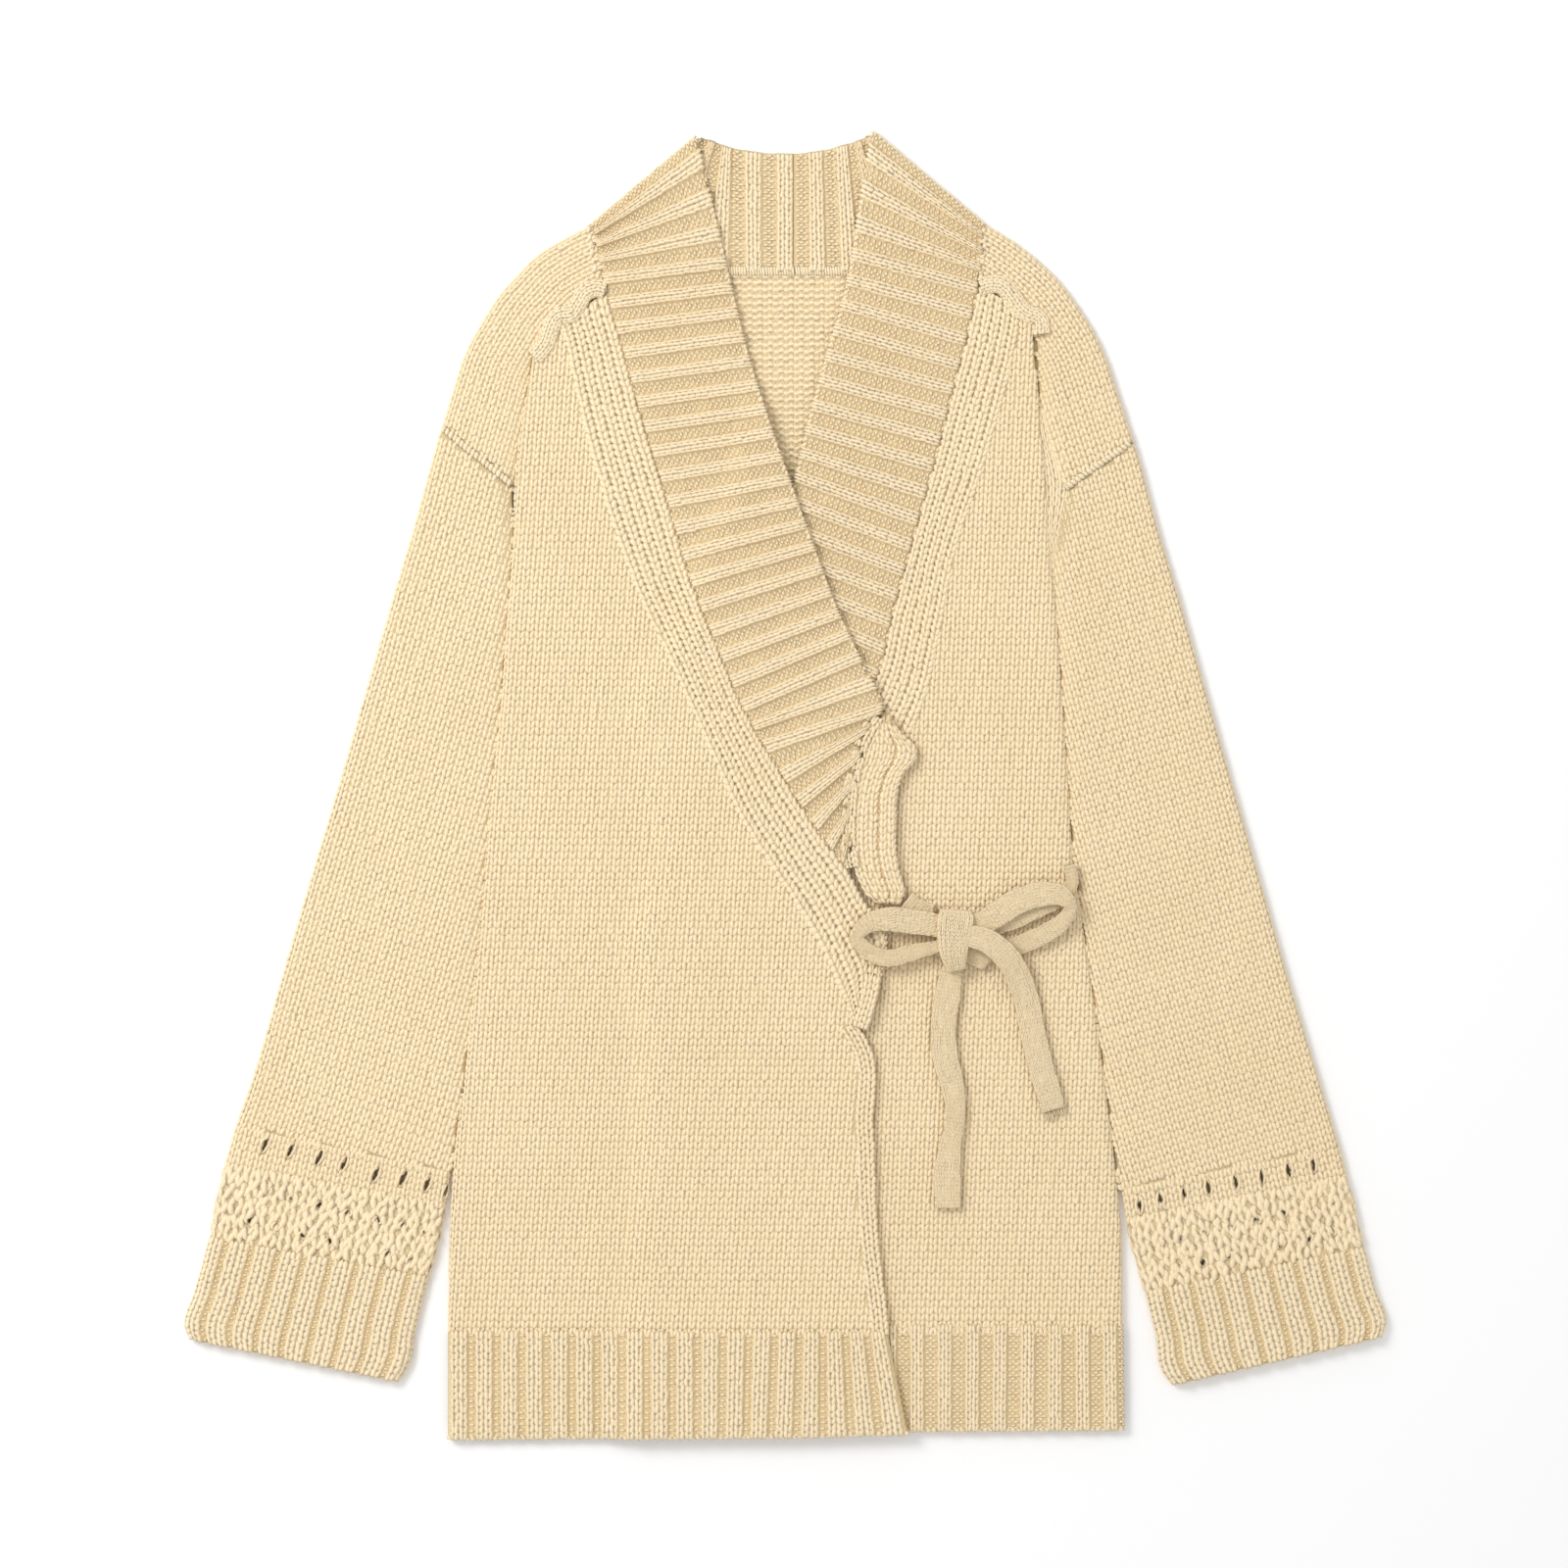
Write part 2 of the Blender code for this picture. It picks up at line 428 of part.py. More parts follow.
def collar(name, table, line, sign, back_table, low):
    """A shawl collar side: back half, the fold at the side of the neck, and the half down the front."""
    front_rows = []
    for seam_y, free_x, free_y in table:
        front_rows.append((line_x(line, seam_y)[0] + sign * SEAM, seam_y, free_x, free_y))
    back_rows = np.asarray(back_table, float)
    seam_fold = back_rows[-1][0:2]
    free_fold = back_rows[-1][2:4]
    along = (free_fold - seam_fold) / np.linalg.norm(free_fold - seam_fold)
    outward = np.array((-sign * abs(along[1]), abs(along[0])))
    radius = (LAYER + CLOTH) / 2
    fold_row = back_rows[-1] - radius * np.concatenate([outward, outward])
    outer = []
    inner = []

    def add_section(row, outer_z, inner_z, outer_shift=0.0, inner_shift=0.0, low_at=None, rise=0.0, back_rise=0.0):
        outer_row = []
        inner_row = []
        for share in COLLAR_SHARES:
            fade = 0.0 if share in (0.0, 1.0) else 1.0
            point = row[0:2] + (row[2:4] - row[0:2]) * share
            lift = low_at(point[0], point[1]) - LAYER if low_at else 0.0
            outside = point + outward * outer_shift
            inside = point + outward * inner_shift
            roll = EDGE_ROLL * (1.0 - fade) if low_at else 0.0
            outer_row.append((*outside, outer_z + lift + rise * fade - roll))
            inner_row.append((*inside, inner_z + lift + back_rise * fade))
        outer.append(outer_row)
        inner.append(inner_row)

    back_stations = between(np.vstack([back_rows[:-1], fold_row]), 1)
    knots = lengths(back_rows[0:3])
    for place in rib_places(BACK_COLLAR_RIBS):
        row = smooth_curve(knots, back_rows[0:3], [place * knots[-1]])[0]
        add_section(row, 0.0, CLOTH, back_rise=rib_height(place, BACK_COLLAR_RIBS, RIB_RISE))
    add_section(back_stations[3], 0.0, CLOTH)
    for degrees in (-90, -45, 0, 45, 90):
        angle = np.radians(degrees)
        reach = np.cos(angle)
        add_section(fold_row, radius + radius * np.sin(angle), radius + GAP / 2 * np.sin(angle),
                    outer_shift=radius * reach, inner_shift=GAP / 2 * reach)
    front_all = np.vstack([fold_row, front_rows])
    knots = lengths(front_all)
    for place in rib_places(COLLAR_RIBS)[1:]:
        row = smooth_curve(knots, front_all, [place * knots[-1]])[0]
        if row[1] < table[0][0]:
            row[0] = line_x(line, row[1])[0] + sign * SEAM
        add_section(row, LAYER + CLOTH, LAYER, low_at=low, rise=rib_height(place, COLLAR_RIBS, RIB_RISE))
    close_grid(name, outer, inner, RIB_CREAM)


def inset(points, distance):
    """A line moved to its right-hand side by a distance."""
    points = np.asarray(points, float)
    tangent = np.gradient(points, axis=0)
    tangent /= np.linalg.norm(tangent, axis=1)[:, None]
    return points + distance * np.stack([tangent[:, 1], -tangent[:, 0]], axis=1)


def back_panel():
    """The back: a body between the side creases, then a yoke that fans out to the shoulders and the neck."""
    shoulder_right = inset(np.asarray(SADDLE_RIGHT)[::-1, 0:2], FOLD_WALL)[::2]
    shoulder_left = inset(np.asarray(SADDLE_LEFT)[:, 0:2], FOLD_WALL)[::2]
    top_line = np.vstack([shoulder_right, NECK_SEAM, shoulder_left])
    across = top_line[:, 0]
    share = (across - across[0]) / (across[-1] - across[0])
    rows = []
    heights = [HEM_TOP_Y + SEAM] + [row[0] for row in SIDES[1:] if row[0] <= ARMPIT_Y] + [YOKE_Y]
    for y in heights:
        left = side_x(y, 1)[0] + FOLD_WALL
        right = side_x(y, 2)[0] - FOLD_WALL
        rows.append([(left + (right - left) * s, y) for s in share])
    first = np.array(ARMPIT_RIGHT)
    last = np.array(ARMPIT_LEFT)
    armpit = [first + (last - first) * s for s in share]
    for amount in (0.0, 0.5, 1.0):
        rows.append([a + (b - a) * amount for a, b in zip(armpit, top_line)])
    top = [[(x, y, CLOTH) for x, y in row] for row in rows]
    bottom = [[(x, y, 0.0) for x, y in row] for row in rows]
    close_grid("back_panel", top, bottom, PURL_CREAM)


def saddle(name, table, sign):
    """The shoulder in front of the shoulder line, folded over the edge of the back."""
    stations = between(table, 1)
    if sign < 0:
        stations = np.concatenate([stations[:, 2:4], stations[:, 0:2]], axis=1)
    left_edge, right_edge = (FOLDED, SEWN) if sign > 0 else (SEWN, FOLDED)
    cloth(name, stations, under_low, left_edge, right_edge, 2, CREAM)


def tube_layers(name, table, relief, steps, shares, colour):
    """The upper and the under layer of a flattened tube: the upper one folds down to the ground at both sides."""
    stations = between(table, steps)
    if shares is None:
        upper = cloth(name + "_top", stations, under_low, FOLDED, FOLDED, 2, colour)
    else:
        upper = ribbed_layer(name + "_top", stations, relief, shares, colour)
    away = stations[:, 2:4] - stations[:, 0:2]
    away /= np.linalg.norm(away, axis=1)[:, None]
    inner = np.concatenate([stations[:, 0:2] + away * FOLD_WALL, stations[:, 2:4] - away * FOLD_WALL], axis=1)
    cloth(name + "_under", inner, floor_low, UNROLLED, UNROLLED, 1, colour)
    return upper


def ribbed_layer(name, stations, relief, shares, colour):
    """An upper layer whose folded sides stand beside columns that carry a relief."""
    top = []
    bottom = []
    knots = lengths(stations)
    for row, station in enumerate(stations):
        left = station[0:2]
        right = station[2:4]
        width = float(np.linalg.norm(right - left))
        core = width - 2 * FOLDED[-1][0]
        columns = list(FOLDED[:-1])
        columns += [(FOLDED[-1][0] + core * share, 1.0, 0.0) for share in shares]
        columns += [(width - d, kept, drop) for d, kept, drop in reversed(FOLDED[:-1])]
        top_row = []
        bottom_row = []
        for distance, kept, drop in columns:
            x, y = left + (right - left) * (distance / width)
            across = (distance - FOLDED[-1][0]) / core
            rise = relief(knots[row] / knots[-1], across) if 0.0 < across < 1.0 else 0.0
            top_row.append((x, y, LAYER + CLOTH - drop + rise))
            bottom_row.append((x, y, LAYER * kept))
        top.append(top_row)
        bottom.append(bottom_row)
    return close_grid(name, top, bottom, colour)


def cuff_relief(along, across):
    """Ribs along a cuff."""
    return rib_height(across, CUFF_RIBS, RIB_RISE)


def openwork_relief(along, across):
    """Rows of chunky crossed stitches below the slits, each row set half a stitch from the last."""
    row = along * OPENWORK_ROWS - 1.0
    if row < 0.0:
        return 0.0
    bump = np.sin(np.pi * (row % 1.0)) ** 2
    phase = 0.5 * (int(row) % 2)
    stitch = 0.35 + 0.65 * abs(np.sin(np.pi * (across * OPENWORK_STITCHES + phase)))
    return KNOB_RISE * bump * stitch * fade_ends(along)


def cut_slits(layer, table):
    """Cut the row of eyelet slits through the upper layer, along the sleeve."""
    first = np.asarray(table[0], float)
    second = np.asarray(table[1], float)
    for number, (share, length) in enumerate(SLITS):
        start = first[0:2] + (first[2:4] - first[0:2]) * share
        end = second[0:2] + (second[2:4] - second[0:2]) * share
        along = (end - start) / np.linalg.norm(end - start)
        centre = start + along * (length / 2 + EYELET_FROM_SEAM)
        bpy.ops.mesh.primitive_cylinder_add(vertices=8, radius=0.5, depth=CUTTER_DEPTH * MM, end_fill_type="NGON")
        cutter = bpy.context.object
        cutter.name = f"{layer.name}_slit_{number + 1}"
        cutter.scale = (EYELET_WIDTH * MM, length * MM, 1.0)
        cutter.rotation_euler = (0.0, 0.0, float(np.arctan2(along[1], along[0]) - np.pi / 2))
        cutter.location = (centre[0] * MM, centre[1] * MM, (CUTTER_DEPTH / 2 + LAYER - GAP / 2) * MM)
        cutter.hide_render = True
        cutter.display_type = "WIRE"
        for home in cutter.users_collection:
            home.objects.unlink(cutter)
        cutters.objects.link(cutter)
        cut = layer.modifiers.new(cutter.name, "BOOLEAN")
        cut.operation = "DIFFERENCE"
        cut.solver = "EXACT"
        cut.object = cutter


def strap(name, table, steps, corner=0.55):
    """A flat knitted strap swept along its stations, with plain cut ends."""
    table = np.asarray(table, float)
    knots = lengths(table[:, 0:3])
    where = [a + (b - a) * k / steps for a, b in zip(knots[:-1], knots[1:]) for k in range(steps)] + [knots[-1]]
    stations = smooth_curve(knots, table, where)
    tangent = np.gradient(stations[:, 0:2], axis=0)
    tangent /= np.linalg.norm(tangent, axis=1)[:, None]
    sides = STRAP_SIDES
    points = []
    for station, direction in zip(stations, tangent):
        x, y, z, width, thick = station
        normal = (-direction[1], direction[0])
        for k in range(sides):
            angle = 2 * np.pi * (k + 0.5) / sides
            out = np.sign(np.cos(angle)) * abs(np.cos(angle)) ** corner * width / 2
            up = np.sign(np.sin(angle)) * abs(np.sin(angle)) ** corner * thick / 2
            points.append((x + normal[0] * out, y + normal[1] * out, z + up))
    faces = []
    for i in range(len(stations) - 1):
        for k in range(sides):
            a = i * sides + k
            b = i * sides + (k + 1) % sides
            faces.append((a, b, b + sides, a + sides))
    last = (len(stations) - 1) * sides
    faces.append(tuple(range(sides))[::-1])
    faces.append(tuple(range(last, last + sides)))
    add_body(name, points, faces, TIE_CREAM)


def centre_on_box():
    """Move the garment so that its origin is the middle of its box, at the bottom."""
    corners = [vertex.co for body in garment.objects for vertex in body.data.vertices]
    low = [min(c[k] for c in corners) for k in range(3)]
    high = [max(c[k] for c in corners) for k in range(3)]
    shift = ((low[0] + high[0]) / 2, (low[1] + high[1]) / 2, low[2])
    for body in garment.objects:
        for vertex in body.data.vertices:
            vertex.co.x -= shift[0]
            vertex.co.y -= shift[1]
            vertex.co.z -= shift[2]
    for cutter in cutters.objects:
        cutter.location.x -= shift[0]
        cutter.location.y -= shift[1]
        cutter.location.z -= shift[2]


for old in list(bpy.data.objects):
    bpy.data.objects.remove(old, do_unlink=True)
garment = bpy.data.collections.new("knitted_wrap_jacket")
cutters = bpy.data.collections.new("cutters")
bpy.context.scene.collection.children.link(garment)
bpy.context.scene.collection.children.link(cutters)

back_panel()
saddle("saddle_right", SADDLE_RIGHT, 1)
saddle("saddle_left", SADDLE_LEFT, -1)
front("front_right", FRONT_RIGHT, 1, OUTER_RIGHT, 1, over_low, climb_columns, CREAM)
front("front_left", FRONT_LEFT, 2, OUTER_LEFT, -1, under_low, 1, CREAM)
band("band_right", BAND_RIGHT, OUTER_RIGHT, INNER_RIGHT, 1, over_low)
band("band_left", BAND_LEFT, OUTER_LEFT, INNER_LEFT, -1, under_low)
collar("collar_right", COLLAR_RIGHT, INNER_RIGHT, 1, BACK_COLLAR_RIGHT, over_low)
collar("collar_left", COLLAR_LEFT, INNER_LEFT, -1, BACK_COLLAR_LEFT, under_low)
cloth("collar_tab", between(TAB, 1), over_low, SEWN, SEWN, 2, RIB_CREAM)

hem_relief_right = lambda along, across: rib_height(along, RIGHT_HEM_RIBS, RIB_RISE) * fade_ends(across)
hem_relief_left = lambda along, across: rib_height(along, LEFT_HEM_RIBS, RIB_RISE) * fade_ends(across)
right_places = [place * lengths(HEM_RIGHT)[-1] for place in rib_places(RIGHT_HEM_RIBS)]
right_ribs = smooth_curve(lengths(HEM_RIGHT), HEM_RIGHT, right_places)
cloth("hem_rib_right", right_ribs, over_low, SEWN, SEWN, 0, RIB_CREAM, relief=hem_relief_right)
left_places = [place * lengths(HEM_LEFT)[-1] for place in rib_places(LEFT_HEM_RIBS)]
left_ribs = smooth_curve(lengths(HEM_LEFT), HEM_LEFT, left_places)
cloth("hem_rib_left", left_ribs, under_low, SEWN, SEWN, 0, RIB_CREAM, relief=hem_relief_left)
cloth("hem_rib_back", between(HEM_BACK, 3), floor_low, UNROLLED, UNROLLED, 1, RIB_CREAM)

for side, sleeve_table, openwork_table, cuff_table in (
        ("right", SLEEVE_RIGHT, OPENWORK_RIGHT, CUFF_RIGHT), ("left", SLEEVE_LEFT, OPENWORK_LEFT, CUFF_LEFT)):
    tube_layers("sleeve_" + side, sleeve_table, None, 1, None, CREAM)
    openwork = tube_layers("openwork_" + side, openwork_table, openwork_relief, 4,
                           [step / KNOB_COLUMNS for step in range(KNOB_COLUMNS + 1)], CREAM)
    cut_slits(openwork, openwork_table)
    tube_layers("cuff_" + side, cuff_table, cuff_relief, 1, rib_places(CUFF_RIBS), RIB_CREAM)

strap("bow_loop_right", LOOP_RIGHT, 2)
strap("bow_loop_left", LOOP_LEFT, 2)
strap("tie_lead_right", LEAD_RIGHT, 2)
strap("tie_lead_left", LEAD_LEFT, 2)
strap("bow_knot", KNOT, 2, corner=0.45)
strap("bow_underfold", UNDERFOLD, 2)
strap("tie_tail_right", TAIL_RIGHT, 2)
strap("tie_tail_left", TAIL_LEFT, 2)
centre_on_box()
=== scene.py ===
"""Looks of a chunky knitted wrap jacket in kimono style, laid flat and seen from straight above.

Every panel is a thin shell on its solid's form with real stitches on it: short grains of yarn along wales and
courses. The tables are in the garment's own millimetres, X to the viewer's right and Y towards the neck.
"""

import math

import bpy
import numpy as np
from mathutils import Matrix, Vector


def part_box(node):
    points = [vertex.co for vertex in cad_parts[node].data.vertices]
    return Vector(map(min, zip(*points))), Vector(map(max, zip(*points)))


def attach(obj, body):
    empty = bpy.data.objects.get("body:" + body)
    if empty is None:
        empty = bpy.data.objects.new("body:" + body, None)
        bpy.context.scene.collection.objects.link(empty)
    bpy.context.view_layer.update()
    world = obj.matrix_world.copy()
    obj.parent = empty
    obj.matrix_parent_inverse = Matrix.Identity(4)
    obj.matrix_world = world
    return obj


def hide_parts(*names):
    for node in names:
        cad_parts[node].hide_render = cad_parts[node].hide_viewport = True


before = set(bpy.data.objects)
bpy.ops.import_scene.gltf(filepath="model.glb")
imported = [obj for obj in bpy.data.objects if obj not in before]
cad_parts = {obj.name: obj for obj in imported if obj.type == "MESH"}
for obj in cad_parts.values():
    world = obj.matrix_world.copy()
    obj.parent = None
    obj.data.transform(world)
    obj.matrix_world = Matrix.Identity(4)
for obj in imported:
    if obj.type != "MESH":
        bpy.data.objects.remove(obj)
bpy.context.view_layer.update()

bl_info = {
    "name": "Knitted Wrap Jacket",
    "version": (1, 0, 0),
    "blender": (4, 5, 0),
    "location": "View3D > Sidebar > Knit",
    "description": "Builds a cream knitted wrap jacket around its packed model",
    "category": "Object",
}

# Metres in a millimetre, then thickness and relief of the cloth in millimetres.
MM = 0.001
CLOTH = 3.5
GAP = 0.3
LAYER = CLOTH + GAP
RIB_RISE = 1.3
BAND_RISE = 1.1
GROUND_SINK = 0.65
YARN_DROP = 1.0
COLLAR_RISE = 1.7
COLLAR_KNIT = 0.56
GROUND_THICK = 2.0

# How the right side climbs over the left one, and where its plain front climbs less.
OVERLAP_LIFT = 5.2
PLAIN_LIFT = 4.1
LIFT_START = 44.0
LIFT_RUN = 28.0
PLAIN_TOP_Y = -160.0
PLAIN_LOW_Y = -345.0
PLAIN_FADE = 20.0
ARMPIT_Y = 184.0

# Counts of ribs, heights of ribbed pieces and shares of a rib that are knit wales.
COLLAR_RIBS = 28
BAND_RIBS = 5
CUFF_RIBS = 9
RIGHT_HEM_RIBS = 18
LEFT_HEM_RIBS = 16
HEM_HEIGHT = 66.0
BACK_COLLAR_HEIGHT = 75.0
BACK_COLLAR_KNIT = 0.55
BACK_COLLAR_RISE = 1.4
CUFF_KNIT = 0.84

# Scale and middle of the picture.
MM_PER_PIXEL = 0.625
PICTURE_MIDDLE = (801.0, 802.5)

# Sizes of single pieces in millimetres, and the wales of the tie.
OUTLINE_SPARE = 1.2
TAB_LENGTH = 118.0
GUSSET_LENGTH = 60.0
TIE_WALES = 8
TIE_COURSE = 2.4
UNDER_INSET = 3.4
UNDER_NARROWER = 3.8

# Side creases. Columns: y, x of the right side, x of the left side.
SIDES = (
    (-349, -215.0, 216.0), (-323, -215.0, 215.5), (-280, -214.0, 214.5), (-242, -212.0, 211.0),
    (-173, -204.0, 202.5), (-92, -196.0, 191.0), (-45, -192.0, 184.0), (2, -188.0, 181.5),
    (64, -181.0, 177.0), (102, -179.0, 174.5), (152, -174.5, 170.0), (184, -173.0, 167.5),
    (195, -172.5, 166.5), (227, -169.0, 163.5), (260, -164.0, 161.0), (283, -160.0, 159.0),
    (297, -157.0, 158.5))

# Line between the right front and its band. Columns: y, x.
OUTER_RIGHT = (
    (-350, 66.0), (-339, 65.0), (-286, 59.0), (-217, 56.0), (-162, 52.0), (-157, 49.0), (-152.8, 46.3),
    (-128.4, 33.8), (-105.3, 23.8), (-66.6, 0.6), (-26.6, -25.6), (17.2, -45.6), (70.3, -69.4),
    (119, -92.5), (164.7, -110.0), (206, -122.5), (239.7, -131.3), (264, -136.3), (286, -141.0),
    (298, -145.0))

# Line between the right band and its collar, then the band's free side. Columns: y, x.
INNER_RIGHT = (
    (-153, 52.5), (-138, 57.0), (-116, 61.5), (-93, 63.5), (-82, 57.5), (-72, 50.0), (-52.8, 39.4),
    (-37, 27.0), (-11, 9.4), (17, -8.0), (47.2, -25.6), (87, -42.5), (128.4, -59.4), (182, -75.0),
    (227.8, -89.4), (269.7, -101.0), (311.6, -113.0), (331.5, -118.0), (354, -122.5))

# The same two lines on the left side. Columns: y, x.
OUTER_LEFT = (
    (-349, -65.0), (-286, -59.0), (-217, -56.0), (-162, -52.0), (-154, -48.0), (-145, -40.8), (-120, -27.4),
    (-86, -3.6), (-48.4, 25.8), (4.7, 65.0), (50.3, 88.0), (98.4, 99.5), (148.4, 109.0), (201.6, 126.5),
    (251.6, 140.8), (291.6, 149.3), (308, 150.5))

# Columns: y, x.
INNER_LEFT = (
    (-152, -53.0), (-140, -57.0), (-116, -61.5), (-93, -63.0), (-80, -51.0), (-64.7, -39.4), (-54.7, -32.0),
    (-39.7, -20.6), (-23.4, -8.0), (-7.8, 3.0), (7.8, 13.0), (32.8, 34.0), (64, 55.6), (115.3, 70.0),
    (160.3, 82.5), (209.7, 96.3), (256, 108.0), (279.7, 114.4), (303.4, 120.0), (327, 125.0), (356, 127.5))

# Hidden edge of everything on the left side, which the right side lies on. Columns: y, x.
HIDDEN_EDGE = (
    (-420, -80.0), (-347, -66.0), (-286, -60.0), (-217, -57.0), (-160, -55.0), (-116, -63.0), (-92, -65.0),
    (-75, -56.0), (-20, -49.0), (20, -55.0), (47, -63.0), (77, -51.0), (98, -39.0), (132, -27.0),
    (160, -14.0), (194, 0.0), (240, 13.0), (273, 24.0), (343, 40.0), (415, 60.0))

# Collar sections. Columns: seam y, free edge x, free edge y.
COLLAR_RIGHT = (
    (345, -47.0, 373.4), (331.5, -40.0, 344.0), (311.6, -35.0, 321.6), (290, -30.0, 300.3),
    (269.7, -25.0, 280.3), (227.8, -12.5, 239.0), (182, 2.5, 196.0), (128.4, 18.8, 151.0),
    (87, 32.5, 114.0), (47, 48.8, 79.0), (23.4, 61.0, 47.5), (7.8, 53.0, 37.8), (-11, 47.5, 19.0),
    (-29.7, 42.5, -3.4), (-46, 40.6, -28.4), (-54, 41.0, -47.0))
COLLAR_LEFT = (
    (342, 49.4, 382.8), (327, 45.0, 351.6), (303.4, 40.6, 324.7), (279.7, 35.0, 302.8), (256, 27.5, 277.8),
    (209.7, 15.0, 232.8), (160.3, 4.4, 189.0), (115.3, -10.0, 145.3), (64, -27.5, 101.6),
    (32.8, -45.6, 70.3), (7.8, -61.0, 47.2), (-7.8, -53.0, 32.8), (-23.4, -47.0, 11.0),
    (-39.7, -42.5, -11.0), (-52, -40.0, -30.0), (-60, -41.0, -50.0))

# Back stretch of each collar, from the centre back to the fold at the side of the neck.
# Columns: seam x, seam y, free edge x, free edge y.
BACK_COLLAR_RIGHT = (
    (6.0, 329.3, 6.0, 404.8), (-14.0, 329.2, -14.0, 405.5), (-34.0, 329.5, -33.0, 408.5),
    (-80.0, 338.5, -48.0, 413.8), (-125.0, 359.0, -58.5, 415.0))
BACK_COLLAR_LEFT = (
    (6.5, 329.3, 6.5, 404.8), (26.0, 329.2, 24.0, 407.0), (44.0, 329.5, 38.0, 410.6),
    (87.0, 338.5, 50.0, 414.8), (128.5, 359.0, 57.5, 418.4))

# Bands. Columns: y on the outer line, y on the inner line.
BAND_RIGHT = (
    (294.5, 315.5), (283, 290), (262, 269), (239.7, 245), (206, 211), (164.7, 174), (119, 126.5),
    (70.3, 86), (17.2, 41.5), (-26.6, 9.5), (-66.6, -34), (-105.3, -72), (-118, -82), (-128.4, -93),
    (-139, -116), (-147, -136), (-152.5, -149))
BAND_LEFT = (
    (305, 319), (291.6, 303), (251.6, 256), (201.6, 209.7), (148.4, 160.3), (98.4, 115.3), (72, 85),
    (50.3, 64), (28, 46), (4.7, 28), (-48.4, -12), (-86, -45), (-120, -66), (-133, -93), (-145, -118),
    (-151, -144))

# Saddles from the neck to the armhole. Columns: outline x, y, inner seam x, y.
SADDLE_RIGHT = (
    (-124.0, 358.5, -116.0, 319.5), (-140, 350.5, -126.5, 311.5), (-158, 339.5, -135.5, 304.5),
    (-171, 326.8, -145.5, 297.0), (-182.5, 314, -154.0, 288.0), (-194.4, 295.3, -162.5, 278.0),
    (-204.4, 276.6, -167.0, 252.5), (-212.5, 251.6, -171.0, 227.0), (-219.0, 230.4, -174.5, 195.0))
SADDLE_LEFT = (
    (127.0, 359.5, 125.0, 321.0), (142, 350.8, 135.0, 318.0), (157.5, 339.5, 145.0, 311.0),
    (171.3, 326.8, 152.5, 305.0), (182, 314, 160.5, 298.0), (194.4, 295.3, 164.0, 286.0),
    (203.8, 276.6, 165.0, 258.0), (212.5, 251.6, 168.0, 227.0), (222.8, 220.5, 178.0, 192.5))

# Sleeves from the armhole to the openwork. Columns: outer x, y, inner x, y.
SLEEVE_RIGHT = (
    (-219.6, 229.6, -175.2, 193.6), (-226, 207, -175.6, 158), (-236, 170, -178.2, 128),
    (-248.8, 126.6, -181.2, 90), (-267, 64, -185.4, 36), (-285, 1.6, -191.2, -20),
    (-303.8, -61, -196.6, -83), (-322, -123.4, -202.6, -146), (-340, -186, -210.0, -210),
    (-350.6, -216, -213.4, -246))
SLEEVE_LEFT = (
    (223.2, 219.6, 179.4, 191.2), (227, 207, 173.6, 156), (238, 166, 173.8, 128), (250, 126.6, 176.8, 88),
    (268, 64, 180.6, 34), (286, 1.6, 184.6, -20), (304, -61, 191.8, -84), (322, -123.4, 200.8, -148),
    (341, -186, 209.4, -212), (354, -229, 214.4, -256))
OPENWORK_RIGHT = (
    (-351.0, -216.6, -213.6, -246.6), (-362, -258, -219.5, -282), (-367.5, -287.5, -227, -313))
OPENWORK_LEFT = ((354.2, -229.6, 214.6, -256.6), (362.5, -262, 221.0, -291), (370.0, -294, 229.5, -322.5))
CUFF_RIGHT = ((-367.8, -288.1, -227.4, -313.6), (-377, -322, -236, -348), (-383.5, -346, -241, -372),
              (-380.5, -352.5, -246, -380))
CUFF_LEFT = ((370.3, -294.6, 230.0, -323.1), (377.5, -322, 237, -352), (384.0, -344.5, 242, -376),
             (381.5, -351, 247, -382))

# Hem ribs. Columns: top x, y, bottom x, y.
HEM_RIGHT = ((-215.6, -348.4, -215.6, -417.0), (-63, -348.2, -63, -415.4), (24, -348.2, 24, -414.4),
             (43, -348.2, 48, -413.6), (66, -348.2, 79, -413.0))
HEM_LEFT = ((-65, -344.4, -65, -412.0), (72, -344.4, 72, -411.8), (150, -344.4, 149.5, -411.2),
            (216, -344.4, 217, -410.8))
HEM_BACK = ((-211.2, -349.6, -211.2, -414.0), (0, -349.6, 0, -413.0), (211.8, -349.6, 212.6, -409.0))

# Tab at the end of the right collar. Columns: left x, y, right x, y.
TAB = (
    (61.2, 43.6, 66.0, 45.6), (54.6, 36.0, 74.4, 33.0), (50.6, 26.0, 83.8, 23.5), (48.6, 18.0, 83.0, 17.0),
    (45.6, 6.0, 75.6, 8.6), (43.4, -5.0, 72.0, -2.0), (41.8, -28.5, 70.6, -23.4),
    (42.4, -48.0, 71.3, -45.3), (46.4, -60.5, 74.4, -59.7), (51.4, -69.0, 76.3, -67.8),
    (58.5, -75.5, 72.5, -75.3))

